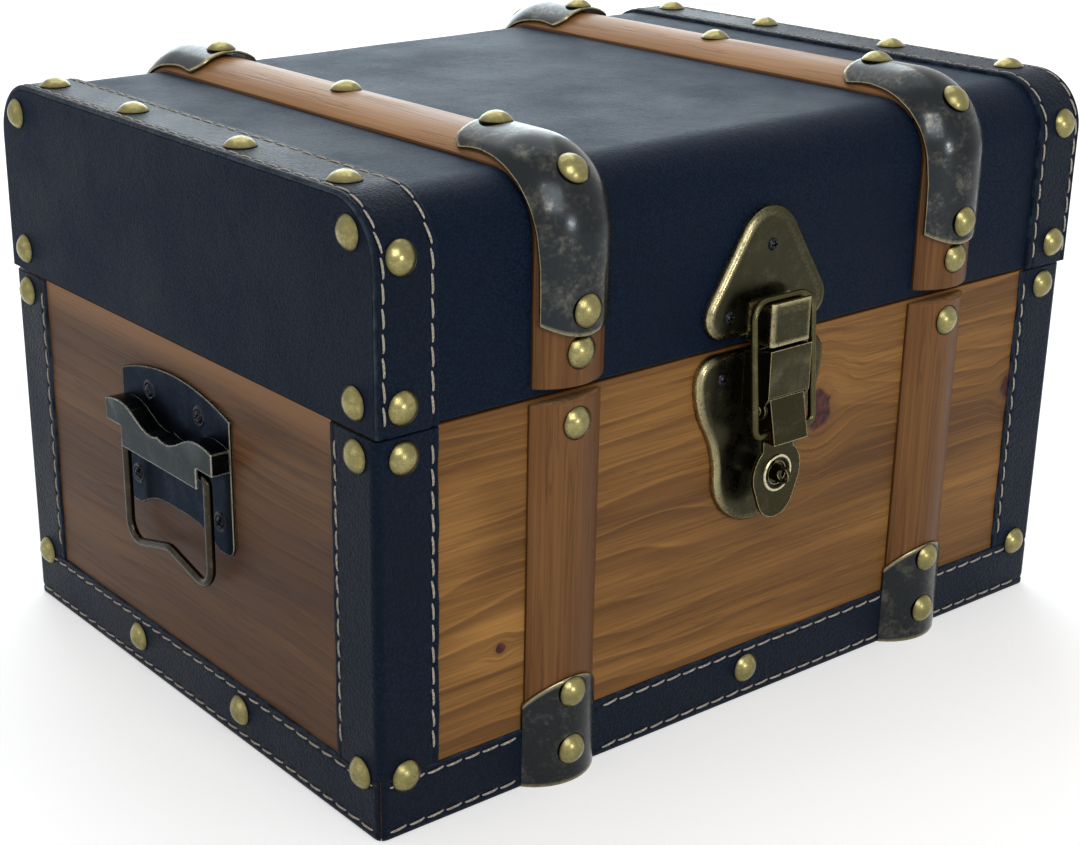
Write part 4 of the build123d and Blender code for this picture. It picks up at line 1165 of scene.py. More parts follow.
@dataclass
class Stitching:
    """Rows of thread along the leather, each stitch a short flat bow sunk in at both ends."""

    pitch: float = 6.9
    length: float = 5.9
    width: float = 0.85
    bow: float = 0.42
    slant: float = 5.0
    sink: float = -0.26

    def stitches(self, places: np.ndarray, along: np.ndarray, outward: np.ndarray) -> list[Surface]:
        """Stitches at many places.

        Along its length t from -1 to 1 a stitch rises by bow times one less the fourth power of t
        and its section, a flat oval, narrows towards both ends.

        Args:
            places: middles of the stitches.
            along: directions of the row.
            outward: directions out of the leather.

        Returns:
            One surface for each stitch.
        """
        chance = np.random.default_rng(7)
        count = len(places)
        lean = np.radians(self.slant + chance.normal(0, 2.0, count))
        size = 1 + chance.normal(0, 0.035, count)
        side = np.cross(outward, along)
        way = along * np.cos(lean)[:, None] + side * np.sin(lean)[:, None]
        side = np.cross(outward, way)
        t = np.array([-1.0, -0.86, -0.45, 0.0, 0.45, 0.86, 1.0])
        angle = np.linspace(0, 2 * np.pi, 6, endpoint=False) + 0.3
        thick = self.width / 2 * np.array([0.45, 0.8, 1.0, 1.0, 1.0, 0.8, 0.45])
        rise = self.bow * (1 - t**4) - 0.12
        core = (places[:, None] + way[:, None] * (t * self.length / 2)[None, :, None] * size[:, None, None]
                + outward[:, None] * rise[None, :, None])
        ring = (np.cos(angle)[None, None, :, None] * side[:, None, None]
                + 0.6 * np.sin(angle)[None, None, :, None] * outward[:, None, None])
        grid = core[:, :, None] + ring * thick[None, :, None, None]
        return [Surface(points, wrap=True, caps=True) for points in grid]

    def row(self, curve: np.ndarray, outward: np.ndarray, skip: tuple[tuple[np.ndarray, float], ...] = ()
            ) -> list[Surface]:
        """A row of stitches along a line.

        Args:
            curve: densely spaced points of the line.
            outward: direction out of the leather at each of those points.
            skip: places and radii that the row leaves out.

        Returns:
            The stitches.
        """
        steps = np.linalg.norm(np.diff(curve, axis=0), axis=1)
        length = np.concatenate([[0], np.cumsum(steps)])
        count = int((length[-1] - self.length) / self.pitch) + 1
        at = (length[-1] - (count - 1) * self.pitch) / 2 + np.arange(count) * self.pitch

        def pick(values: np.ndarray) -> np.ndarray:
            """Values at the stitches."""
            return np.stack([np.interp(at, length, values[:, i]) for i in range(3)], axis=1)

        places, along, out = pick(curve), pick(np.gradient(curve, axis=0)), pick(outward)
        along /= np.linalg.norm(along, axis=1, keepdims=True)
        out /= np.linalg.norm(out, axis=1, keepdims=True)
        keep = np.ones(count, bool)
        for middle, radius in skip:
            keep &= np.linalg.norm(places - middle, axis=1) > radius
        return self.stitches(places[keep], along[keep], out[keep])

    def base_line(self, s: np.ndarray, z: np.ndarray) -> tuple[np.ndarray, np.ndarray]:
        """A line on the base's leather, and the directions out of it.

        Args:
            s: distance round the base.
            z: height.

        Returns:
            The points and the directions.
        """
        line = CHEST.round_base(s, z, np.full_like(s, self.sink))
        return line, CHEST.round_base(s, z, np.full_like(s, 1.0)) - line

    def base_rows(self) -> list[Surface]:
        """Rows on the corner strips and on the foot strip; the straps and corners stay free.

        Returns:
            The stitches.
        """
        rows: list[Surface] = []
        middle, half = CHEST.fold
        z = np.linspace(CHEST.foot + 2, CHEST.rim - 1.5, 200)
        for place in (-half + CHEST.seam, half - CHEST.seam):
            line, out = self.base_line(np.full_like(z, middle + place), z)
            for x, y in product(BOTH, BOTH):
                sign = np.array([x, y, 1.0])
                rows += self.row(line * sign, out * sign)
        s = np.linspace(1.5, CHEST.girth - 1.5, 3000)
        for high in (CHEST.seam + 0.4, CHEST.foot - CHEST.seam):
            line, out = self.base_line(s, np.full_like(s, high))
            skip = tuple((np.array([x * wide, y * CHEST.half_depth, high]), radius)
                         for wide, radius in ((CHEST.slat_x, 15.5), (CHEST.half_width, 3.6))
                         for x, y in product(BOTH, BOTH))
            rows += self.row(line, out, skip)
        return rows

    def lid_rows(self) -> list[Surface]:
        """Rows on both bands of the lid.

        Returns:
            The stitches.
        """
        rows: list[Surface] = []
        s = np.linspace(1.5, CHEST.lid_length - 1.5, 1600)
        left = -CHEST.half_width
        for place in (left + CHEST.seam, left + CHEST.band - CHEST.seam):
            line, above = (CHEST.over_lid(s, np.full_like(s, place), np.full_like(s, out))
                           for out in (1.17, 3.0))
            for x in (1.0, -1.0):
                sign = np.array([x, 1, 1])
                rows += self.row(line * sign, (above - line) * sign)
        return rows

    def build(self) -> None:
        """Make and dress the thread."""
        thread = WaxedThread().build()
        Piece("base_stitches", self.base_rows(), Body.BASE, "navy_leather").make(thread)
        Piece("lid_stitches", self.lid_rows(), Body.LID, "navy_leather").make(thread)


@dataclass
class Straps:
    """Half-round wooden straps of the base and of the lid; under is how far they run below a cap."""

    side: float = 1.0
    soft: float = 0.45
    end_gap: float = 1.0
    lid_gap: float = 3.0
    under: float = 13.8

    def section(self) -> tuple[np.ndarray, np.ndarray]:
        """Closed half-round section: flat back, short sides and an arc through the crown.

        Returns:
            Places across and heights.
        """
        half, rise = CHEST.slat_half, CHEST.slat_rise - self.side
        ball = (half**2 + rise**2) / (2 * rise)
        swing = math.asin(half / ball)
        angle = np.linspace(-swing, swing, 34)[1:-1]
        high = self.side + rise - ball * (1 - np.cos(angle))
        return (np.concatenate([[-half, -half], ball * np.sin(angle), [half, half]]),
                np.concatenate([[0.0, self.side], high, [self.side, 0.0]]))

    def strap(self, length: float, place: Callable[..., np.ndarray]) -> Surface:
        """One strap; its last few rows shrink so that the cut ends have soft edges.

        Args:
            length: length of the strap.
            place: function from distance along, across and height to points.

        Returns:
            The surface.
        """
        across, high = self.section()
        ends = self.soft * np.array([0, 0.12, 0.5, 1.3])
        run = np.linspace(4, length - 4, max(6, int(length / 2.6)))
        along = np.concatenate([ends, run, length - ends[::-1]])
        pull = 1 - rounded_off(np.minimum(along, length - along), self.soft) / CHEST.slat_half
        worn = 0.10 * np.sin(along[:, None] * 0.09 + across[None, :] * 0.3)
        x = across[None, :] * pull[:, None]
        h = np.where(high[None, :] > 0.5, high[None, :] * pull[:, None] + worn * 0.3 - 0.03, high[None, :])
        # mark of the sides next to the board, where the finish darkens the wood: dark edges and painted shade
        # beside the strap
        foot = np.clip(1 - high / 1.9, 0, 1)
        return Surface(place(along[:, None], x, h), wrap=True, caps=True, marks={"edge": foot[None, :]})

    def on_base(self, middle: float) -> Callable[..., np.ndarray]:
        """How a strap stands upright on the front boards."""
        return lambda s, x, h: joined(middle + x, -CHEST.wood_front - h, self.end_gap + s)

    def on_lid(self, middle: float, start: float) -> Callable[..., np.ndarray]:
        """How a strap lies over the lid, from a distance along its leather."""
        return lambda s, x, h: CHEST.over_lid(start + s, middle + x, h)

    def build(self) -> None:
        """Make and dress the straps."""
        wood = StainedPine("strap_pine", Grain.PIECE, light=(0.162, 0.074, 0.024),
                           middle=(0.112, 0.047, 0.0145), dark=(0.062, 0.025, 0.008), band=6.5,
                           rough=0.36).build()
        # the straps on top are the same wood in much lighter colours: painted light, where the top faces the
        # lamps
        pale = StainedPine("top_strap_pine_painted_light", Grain.PIECE, light=(0.37, 0.19, 0.075),
                           middle=(0.27, 0.128, 0.047), dark=(0.17, 0.073, 0.027), band=5.5,
                           rough=0.34).build()
        rise, arc, flat = CHEST.over
        for side, sign in SIDES:
            middle = sign * CHEST.slat_x
            base = self.on_base(middle)
            front = self.strap(CHEST.rim - 2 * self.end_gap, base)
            back = self.strap(CHEST.rim - CHEST.back_drop - self.end_gap, base)
            lid = self.strap(rise - self.lid_gap + self.under, self.on_lid(middle, self.lid_gap))
            top = self.strap(flat + 2 * self.under, self.on_lid(middle, rise + arc - self.under))
            for body, face, surface, finish in (
                (Body.BASE, "front", front, wood), (Body.BASE, "back", flipped(back, y=-1), wood),
                (Body.LID, "front", lid, wood), (Body.LID, "back", flipped(lid, y=-1), wood),
                # the top strap takes the lighter copy with painted light
                (Body.LID, "top", top, pale),
            ):
                Piece(f"strap_{body.value}_{face}_{side}", [surface], body, "strap_wood",
                      (f"{body.value}_slat_{face}_{side}",)).make(finish)


@dataclass
class MetalCaps:
    """Pressed caps on the straps: elbows over the lid's bends and shoes at the foot.

    side is the height of an arch's short straight sides and half_girth about half the sheet's
    width, by which an inset is turned into a share of it.
    """

    sheet: float = 1.0
    side: float = 1.0
    half_girth: float = 18.0
    elbow_half: float = 15.2
    elbow_drop: float = 28.0
    elbow_edge_drop: float = 23.0
    elbow_tip: float = 21.0
    shoe_half: float = 14.65
    shoe_top: float = 36.5
    shoe_side: float = 28.0

    def bow(self, half: float, rise: float) -> Triple:
        """The arc of an arch.

        Args:
            half: half width.
            rise: height of the crown.

        Returns:
            Its radius, half its angle and its share of the way from crown to foot.
        """
        high = rise - self.side
        ball = (half**2 + high**2) / (2 * high)
        swing = math.asin(half / ball)
        return ball, swing, ball * swing / (ball * swing + self.side)

    def arch(self, half: float, rise: float, t: np.ndarray, out: float) -> tuple[np.ndarray, np.ndarray]:
        """Point of the arched section: an arc through the crown with short straight sides below.

        Args:
            half: half width.
            rise: height of the crown.
            t: place across, from -1 to 1.
            out: distance outside the outer face.

        Returns:
            Places across and heights.
        """
        ball, swing, share = self.bow(half, rise)
        angle = np.clip(t / share, -1, 1) * swing
        below = np.clip((np.abs(t) - share) / (1 - share), 0, 1) * self.side
        return (ball + out) * np.sin(angle), rise - ball + (ball + out) * np.cos(angle) - below

    def spread(self, count: int) -> np.ndarray:
        """Steps from -1 to 1 that lie closer together near both ends."""
        t = np.linspace(-1, 1, count)
        return t * (1.5 - 0.5 * t**2) * 0.75 + t * 0.25

    def lifted(self, s: np.ndarray) -> np.ndarray:
        """Height of an elbow's side edges over the leather, by distance from the bend's start."""
        return np.interp(s, [-28, -14, -7, -1, 6, 13, 20, 25, 30, 35, 39, 43, 46],
                         [3.2, 3.15, 3.0, 2.5, 1.8, 1.5, 1.6, 2.1, 2.9, 3.4, 3.3, 2.8, 2.6])

    def side_at(self, high: np.ndarray) -> np.ndarray:
        """Place across, from 0 to 1, where an elbow's arch stands at a height.

        Args:
            high: heights over the leather.

        Returns:
            Places across: the angle of the arc at that height, or the straight side below it.
        """
        ball, swing, share = self.bow(self.elbow_half, CHEST.elbow_rise)
        angle = np.arccos(np.clip((high - CHEST.elbow_rise + ball) / ball, -1, 1))
        return np.where(high > self.side, share * angle / swing, 1 - (1 - share) * high)

    def elbow_grid(self, out: float, inset: float) -> np.ndarray:
        """Points of one face of an elbow.

        Each column runs between the rounded front edge and the top edge, straight across with
        rounded corners, and each row is narrowed until its sides stand at the lifted side edge.

        Args:
            out: distance outside the outer face.
            inset: how far the face stays inside the cut edges.

        Returns:
            The points.
        """
        t = self.spread(41)[None, :]
        v = np.linspace(0, 1, 71)[:, None]
        rise, arc, _ = CHEST.over
        s = -self.elbow_drop + v * (self.elbow_drop + arc + self.elbow_tip)
        for _ in range(4):
            limit = self.side_at(self.lifted(s)) - inset / self.half_girth
            u, h = self.arch(self.elbow_half, CHEST.elbow_rise, t * limit, out)
            share = np.clip(np.abs(u) / self.elbow_half, 0, 1)
            low = -self.elbow_drop + (self.elbow_drop - self.elbow_edge_drop) * share**2 + inset
            tip = np.interp(share, [0, 0.5, 0.66, 0.74, 0.80, 0.85, 0.90, 1.0],
                            [20.7, 20.8, 20.5, 19.8, 18.8, 17.4, 15.8, 13.0])
            s = low + v * (arc + tip - inset - low)
        return CHEST.over_lid(s + rise, -CHEST.slat_x + u, h)

    def shoe_grid(self, out: float, inset: float) -> np.ndarray:
        """Points of one face of a shoe, whose top edge is an arc through the crown.

        Args:
            out: distance outside the outer face.
            inset: how far the face stays inside the cut edges.

        Returns:
            The points.
        """
        t = self.spread(41)[None, :]
        v = np.linspace(0, 1, 30)[:, None]
        u, h = self.arch(self.shoe_half, CHEST.shoe_rise, t * (1 - inset / self.half_girth), out)
        fall = self.shoe_top - self.shoe_side
        ball = (self.shoe_half**2 + fall**2) / (2 * fall)
        top = self.shoe_top - inset - ball + np.sqrt(ball**2 - np.minimum(np.abs(u), self.shoe_half) ** 2)
        return joined(-CHEST.slat_x + u, -CHEST.wood_front - h, inset + v * (top - inset))

    def sheet_of(self, face: Callable[[float, float], np.ndarray]) -> list[Surface]:
        """A closed sheet with rounded edges: its outer face, its inner face and the rim between.

        Args:
            face: function from distance outside and inset to points.

        Returns:
            The surfaces.
        """
        outer, bevel, edge, inner = (face(out, inset) for out, inset in
                                     ((0.0, 0.45), (-0.13, 0.13), (-0.45, 0.0), (-self.sheet, 0.1)))

        def ringed(grid: np.ndarray) -> np.ndarray:
            """Points once round the edge of a grid."""
            return np.concatenate([grid[0, :-1], grid[:-1, -1], grid[-1, :0:-1], grid[:0:-1, 0]])

        rim = np.stack([ringed(grid) for grid in (outer, bevel, edge, inner)])
        border = np.full(outer.shape[:2], 0.75)
        border[1:-1, 1:-1] = 0
        return [Surface(outer, marks={"edge": border}), Surface(inner),
                Surface(rim, wrap=True, marks={"edge": np.array([0.75, 1.0, 1.0, 0.5])[:, None]})]

    def build(self) -> None:
        """Make and dress the caps."""
        metal = AgedMetal("dark_sheet", dark=(0.025, 0.028, 0.030), bright=(0.100, 0.096, 0.082),
                          rubbed=(0.36, 0.31, 0.18), mottle=9.0, rough=0.16, edge=0.3, edge_share=0.75,
                          specks=0.3, grit=0.010).build()
        kinds = (("elbow", "elbow_cap", self.sheet_of(self.elbow_grid), Body.LID),
                 ("shoe", "foot_cap", self.sheet_of(self.shoe_grid), Body.BASE))
        for (depth, y), (side, x), (name, node, sheet, body) in product(FACES, SIDES, kinds):
            Piece(f"{name}_{depth}_{side}", [flipped(part, -x, y) for part in sheet], body, "dark_sheet",
                  (f"{node}_{depth}_{side}",), 55.0).make(metal)


@dataclass
class Studs:
    """Domed studs all over the chest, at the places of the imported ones."""

    radius: float = 5.2
    height: float = 2.9
    sink: float = 0.2

    def profile(self) -> tuple[np.ndarray, np.ndarray, np.ndarray]:
        """Half section: a ball's cap that rolls under at its rim.

        Returns:
            Radii, heights and a mark that is 1 at the rim.
        """
        ball = (self.radius**2 + self.height**2) / (2 * self.height)
        swing = math.asin(self.radius / ball)
        angle = np.linspace(0.04, swing * 0.965, 10)
        radii = np.concatenate([ball * np.sin(angle), [self.radius, self.radius - 0.05, self.radius - 0.4]])
        high = np.concatenate([self.height - ball * (1 - np.cos(angle)), [0.3, 0.05, -0.5]])
        # mark of the rim that rolls under, where the finish paints shade
        foot = np.clip((radii - self.radius * 0.8) / (self.radius * 0.2), 0, 1) ** 2
        return radii, high, foot

    def base_places(self) -> list[Place]:
        """Places and outward directions of the studs of the base.

        Returns:
            The places.
        """
        places: list[Place] = []
        strip_high, strip_low, middle_low = CHEST.rim - 6.6, 19.7, 11.0
        crown = CHEST.wood_front + CHEST.slat_rise - self.sink
        shoe = CHEST.wood_front + CHEST.shoe_rise - self.sink
        for x, y in product(BOTH, BOTH):
            end, face = (x, 0, 0), (0, y, 0)
            for z in (strip_high, strip_low):
                places.append(((x * 140.3, y * CHEST.half_depth, z), face))
                places.append(((x * CHEST.half_width, y * 100.6, z), end))
            places.append(((x * CHEST.half_width, y * 33.0, middle_low), end))
            top = CHEST.rim - 7.7 - (0 if y < 0 else CHEST.back_drop)
            places.append(((x * CHEST.slat_x, y * crown, top), face))
            places += [((x * CHEST.slat_x, y * shoe, z), face) for z in (11.5, 31.3)]
        return places + [((0, y * CHEST.half_depth, middle_low), (0, y, 0)) for y in BOTH]

    def on_bend(self, x: float, y: int, out: float, degrees: float) -> Place:
        """A stud on one of the lid's bends.

        Args:
            x: place along the width.
            y: -1 in front, 1 behind.
            out: height of what it sits on over the leather.
            degrees: its angle over the level.

        Returns:
            Its place and direction.
        """
        slope = math.radians(degrees)
        far = CHEST.lid_radius + out - self.sink
        return ((x, y * (CHEST.bend_y + far * math.cos(slope)), CHEST.bend_z + far * math.sin(slope)),
                (0, y * math.cos(slope), math.sin(slope)))

    def lid_places(self) -> list[Place]:
        """Places and outward directions of the studs of the lid.

        Returns:
            The places.
        """
        places: list[Place] = []
        low, upward, cap = CHEST.lid_low + 7.8, (0, 0, 1), CHEST.elbow_rise
        for side in BOTH:
            x, band, wall = side * CHEST.slat_x, side * (CHEST.half_width - 8.5), side * CHEST.half_width
            for y in BOTH:
                face = (0, y, 0)
                places += [((wall, y * 100.3, low), (side, 0, 0)),
                           ((wall, y * 99.0, CHEST.lid_top - 9.0), (side, 0, 0)),
                           ((band, y * (CHEST.half_depth + CHEST.band_rise), low), face)]
                places += [((band, y * deep, CHEST.lid_top + CHEST.band_rise), upward)
                           for deep in (32.0, 85.5)]
                places += [
                    self.on_bend(band, y, CHEST.band_rise, 10),
                    ((x, y * (CHEST.half_depth + CHEST.slat_rise - self.sink), CHEST.lid_low + 13.2), face),
                    ((x, y * (CHEST.half_depth + cap - self.sink), CHEST.bend_z - 20.5), face),
                    ((x, y * (CHEST.bend_y - 15.5), CHEST.lid_top + cap - self.sink), upward),
                    self.on_bend(x, y, cap, 45),
                ]
            places.append(((x, 0, CHEST.lid_top + CHEST.slat_rise - self.sink), upward))
        return places

    def build(self) -> None:
        """Make and dress the studs."""
        # inner paints shade on the rolled-under rim of each stud
        brass = AgedMetal("stud_brass", dark=(0.20, 0.175, 0.072), bright=(0.33, 0.29, 0.125),
                          rubbed=(0.62, 0.53, 0.27), mottle=4.0, share=0.6, rough=0.24, edge=0.2,
                          edge_share=0.2, specks=0.6, grit=0.012, inner=0.85).build()
        radii, high, foot = self.profile()
        for body, places in ((Body.BASE, self.base_places()), (Body.LID, self.lid_places())):
            heads = revolved(radii, high, *split(places), 28, {"foot": foot})
            Piece(f"{body.value}_stud_heads", heads, body, "stud_brass", (f"{body.value}_studs",),
                  60.0).make(brass)


@dataclass
class Screws:
    """Low round heads with a cross recess; plate and leaf are heights of latch and hinge sheets."""

    radius: float = 2.1
    height: float = 1.1
    slot: float = 0.62
    plate: float = 3.0
    leaf: float = 1.5
    hinge_axis: float = 126.5

    def heads(self, places: np.ndarray, axes: np.ndarray) -> list[Surface]:
        """Heads at many places.

        The recess drops the head by a smooth step wherever a point is nearer than the slot's half
        width to one of two crossed lines, fading out towards the rim.

        Args:
            places: middles of the heads.
            axes: their directions.

        Returns:
            The surfaces.
        """
        sides = 48
        ball = (self.radius**2 + self.height**2) / (2 * self.height)
        crown = np.linspace(0.02, 1.45, 12)
        radii = np.concatenate([crown, [1.7, 1.95, 2.08, 2.1, 2.05]])
        high = np.concatenate([self.height - ball + np.sqrt(ball**2 - crown**2),
                               [0.52, 0.3, 0.15, 0.0, -0.2]])
        angle = np.linspace(0, 2 * np.pi, sides, endpoint=False)
        near = np.minimum(np.abs(radii[:, None] * np.cos(angle)), np.abs(radii[:, None] * np.sin(angle)))
        dent = self.slot * np.clip((0.34 - near) / 0.12, 0, 1) * np.clip((1.4 - radii[:, None]) / 0.15, 0, 1)
        chance = np.random.default_rng(3).uniform(0, np.pi / 2, len(places))
        # the recess is marked so that the finish paints shade in it
        marks = {"foot": np.clip(dent / self.slot, 0, 1)}
        return revolved(radii, high, places, axes, sides, marks, dent, chance)

    def dimples(self, places: np.ndarray, axes: np.ndarray) -> list[Surface]:
        """Pressed rings round the screws of the handles: a low rim turned round each screw.

        Args:
            places: middles of the rings.
            axes: their directions.

        Returns:
            The surfaces.
        """
        radii = np.array([2.2, 2.35, 2.7, 3.1, 3.4, 3.55, 2.2])
        high = np.array([-0.1, 0.12, 0.30, 0.30, 0.12, -0.1, -0.1])
        return revolved(radii, high, places, axes, 36, caps=False)

    def build(self) -> None:
        """Make and dress the screws."""
        # inner paints shade in the cross recesses
        dark = AgedMetal("dark_screw", dark=(0.012, 0.0125, 0.017), bright=(0.050, 0.051, 0.064),
                         rubbed=(0.22, 0.22, 0.23), mottle=2.0, share=0.55, edge=0.15, edge_share=0.6,
                         specks=0.3, grit=0.008, inner=0.9).build()
        ring = AgedMetal("ring_metal", dark=(0.006, 0.008, 0.013), bright=(0.015, 0.018, 0.026),
                         rubbed=(0.06, 0.065, 0.07), mottle=4.0, share=0.6).build()
        front, back, x0 = (0, -1, 0), (0, 1, 0), CHEST.latch_x
        lid_front, base_front = CHEST.half_depth + self.plate, CHEST.wood_front + self.plate
        lid: list[Place] = [((x0, -lid_front, CHEST.lid_low + 31.0), front)]
        base: list[Place] = []
        rings: list[Place] = []
        for side in BOTH:
            lid.append(((x0 + side * 17.5, -lid_front, CHEST.lid_low + 10.5), front))
            base.append(((x0 + side * 18.0, -base_front, CHEST.rim - 8.5), front))
            for x in (33.0, 51.0):
                lid.append(((side * x, CHEST.half_depth + self.leaf, self.hinge_axis + 10.5), back))
                base.append(((side * x, CHEST.wood_front + self.leaf, self.hinge_axis - 10.5), back))
            rings += [((side * 150.2, way * y, z), (side, 0, 0))
                      for (y, z), way in product(((15.5, 106.2), (26.0, 74.2)), BOTH)]
        for body, places in ((Body.BASE, base + rings), (Body.LID, lid)):
            Piece(f"{body.value}_screw_heads", self.heads(*split(places)), body, "dark_screw",
                  (f"{body.value}_screws",), 35.0).make(dark)
        Piece("handle_screw_rings", self.dimples(*split(rings)), Body.BASE, "handle_metal", (),
              60.0).make(ring)


@dataclass
class Latch:
    """Draw latch: plates, hook, housing, lever with its tongue, staple and wire bail."""

    wire: float = 1.25
    half: float = 12.75
    pivot: tuple[float, float] = (-122.0, 100.0)
    lean: float = 3.5
    length: float = 42.5
    corner: float = 2.5
    arch: float = 5.5
    reach: float = 6.4
    tongue_face: float = -120.4
    eye_height: float = 85.0

    def bail(self) -> Surface:
        """The wire bail: from inside one ear of the lever over the hook to the other.

        Returns:
            The surface.
        """
        up = np.array([0.0, self.lean, self.length])
        up = up / np.linalg.norm(up)
        foot = np.array([CHEST.latch_x, *self.pivot])
        side = np.array([1.0, 0.0, 0.0])
        corners = np.array([
            foot - side * self.reach, foot - side * self.half, foot - side * self.half + up * self.length,
            foot + side * self.half + up * self.length, foot + side * self.half, foot + side * self.reach,
        ])
        return tube(bent_path(corners, [self.corner, self.arch, self.arch, self.corner]), self.wire)

    def eyelet(self) -> list[Surface]:
        """The pressed eyelet round the tongue's hole: a low rim with a painted highlight on its crest, round
        a hollow painted dark as shade.

        Returns:
            The surface, a closed profile turned round the staple's middle.
        """
        radii = np.array([6.35, 6.25, 6.0, 5.7, 5.4, 5.15, 4.7, 4.2, 3.8, 6.35])
        high = np.array([-0.1, 0.25, 0.5, 0.6, 0.5, 0.3, 0.12, 0.06, -0.1, -0.1])
        # the crest of the rim carries a painted highlight, and the hollow inside painted shade
        bright = np.array([0.0, 0.3, 0.9, 1.0, 0.7, 0.0, 0.0, 0.0, 0.0, 0.0])
        dark = np.array([0.0, 0.0, 0.0, 0.0, 0.2, 0.9, 1.0, 1.0, 1.0, 0.0])
        place = np.array([[CHEST.latch_x, self.tongue_face, self.eye_height]])
        return revolved(radii, high, place, np.array([[0.0, -1.0, 0.0]]), 48,
                        {"edge": bright, "foot": dark}, caps=False)

    def build(self) -> None:
        """Make and dress the latch."""
        brass = AgedMetal("latch_brass", dark=(0.028, 0.0255, 0.013), bright=(0.052, 0.047, 0.026),
                          rubbed=(0.50, 0.44, 0.24), grazing=(0.86, 0.82, 0.70), mottle=7.0, rough=0.24,
                          edge_share=1.0, grit=0.010).build()
        pressed = AgedMetal("pressed_brass", dark=(0.033, 0.031, 0.018), bright=(0.058, 0.053, 0.031),
                            rubbed=(0.56, 0.49, 0.27), grazing=(0.88, 0.84, 0.72), mottle=6.0, rough=0.23,
                            edge=2.4, edge_share=0.85, specks=0.7, grit=0.022).build()
        for node, name, body, metal, width in (
            ("lid_plate", "hook_plate", Body.LID, pressed, 0.35),
            ("base_plate", "staple_plate", Body.BASE, pressed, 0.35),
            ("staple", "padlock_staple", Body.BASE, brass, 0.35),
            ("housing", "lever_housing", Body.BASE, brass, 0.4),
            ("lever", "lever", Body.LEVER, brass, 0.4),
            ("lever_pin", "lever_rivets", Body.BASE, brass, 0.2),
        ):
            soften(f"latch_{node}", name, body, metal, width)
        wire = AgedMetal("wire_brass", dark=(0.06, 0.052, 0.024), bright=(0.11, 0.096, 0.046),
                         rubbed=(0.58, 0.50, 0.27), grazing=(0.9, 0.86, 0.7), mottle=5.0, rough=0.22,
                         specks=0.4, grit=0.01).build()
        Piece("wire_bail", [self.bail()], Body.BAIL, "latch_brass", ("latch_bail",), 60.0).make(wire)
        # the eyelet's finish paints the highlight on its crest and the shade in its hollow
        hollow = AgedMetal("eyelet_brass_painted_light", dark=(0.026, 0.024, 0.0125), bright=(0.046, 0.042, 0.022),
                           rubbed=(0.66, 0.60, 0.38), mottle=4.0, rough=0.2, edge=0.15, edge_share=1.0,
                           inner=0.92).build()
        Piece("tongue_eyelet", self.eyelet(), Body.LEVER, "latch_brass", (), 50.0).make(hollow)


@dataclass
class Handles:
    """Drop handles on both ends: arched back plate, waved bridge and a kinked wire grip."""

    wire: float = 1.5
    half: float = 26.0
    axis: float = 89.5
    low: float = 52.8
    peak: float = 57.3
    plane: float = 154.2
    corner: float = 3.0
    bend: float = 6.5
    kink: float = 8.0

    def grip(self) -> Surface:
        """The grip: a closed loop of wire with a kink in the middle of its lower bar.

        Returns:
            The surface.
        """
        fall = self.low + self.bend - (self.peak - self.kink)
        run = self.half - self.bend
        slope = math.asin((self.bend + self.kink) / math.hypot(run, fall)) - math.atan2(fall, run)
        # sharp corners whose rounded path is the loop: the low corners lie on the sloping bars
        tip = self.peak + self.kink * (1 / math.cos(slope) - 1)
        low = tip - self.half * math.tan(slope)
        points = [(0, self.axis), (self.half, self.axis), (self.half, low), (0, tip),
                  (-self.half, low), (-self.half, self.axis), (0, self.axis)]
        corners = np.array([(-self.plane, -y, z) for y, z in points])
        path = bent_path(corners, [self.corner, self.bend, self.kink, self.bend, self.corner])
        return tube(path, self.wire)

    def build(self) -> None:
        """Make and dress the handles."""
        # the pale, partly non-metallic edges of plate and bridge are painted highlights along their edges
        plate = AgedMetal("handle_plate_metal", dark=(0.0045, 0.0065, 0.011), bright=(0.011, 0.014, 0.021),
                          rubbed=(0.60, 0.55, 0.38), painted_highlight=0.7, grazing=(0.62, 0.655, 0.715), mottle=8.0,
                          edge=0.6, specks=0.3, grit=0.01).build()
        bridge = AgedMetal("handle_bridge_metal", dark=(0.014, 0.017, 0.017), bright=(0.032, 0.035, 0.032),
                           rubbed=(0.74, 0.72, 0.60), painted_highlight=0.75, grazing=(0.80, 0.84, 0.86), mottle=10.0,
                           rough=0.2, edge=0.8, edge_share=0.8, specks=0.4, grit=0.012).build()
        steel = AgedMetal("grip_wire", dark=(0.035, 0.029, 0.021), bright=(0.090, 0.074, 0.052),
                          rubbed=(0.5, 0.43, 0.25), mottle=8.0, rough=0.19, edge=0.3, edge_share=0.4,
                          grit=0.012).build()
        loop = self.grip()
        for (side, sign), body in zip(SIDES, (Body.GRIP_LEFT, Body.GRIP_RIGHT)):
            soften(f"handle_plate_{side}", f"end_plate_{side}", Body.BASE, plate, 0.3)
            soften(f"handle_bridge_{side}", f"grip_bridge_{side}", Body.BASE, bridge, 0.3)
            Piece(f"wire_grip_{side}", [flipped(loop, x=-sign)], body, "steel_wire",
                  (f"handle_bail_{side}",), 60.0).make(steel)


@dataclass
class Hinges:
    """Two butt hinges at the back."""

    def build(self) -> None:
        """Dress the leaves and pins."""
        brass = AgedMetal("hinge_brass", dark=(0.10, 0.085, 0.036), bright=(0.27, 0.23, 0.10),
                          rubbed=(0.6, 0.52, 0.28), mottle=4.0, share=0.6, edge=0.4, specks=0.6).build()
        for (side, _), body in product(SIDES, (Body.BASE, Body.LID)):
            leaf = f"{body.value}_leaf_{side}"
            soften(f"hinge_{leaf}", leaf, body, brass, 0.25)
        dress(brass, "hinge_pins")


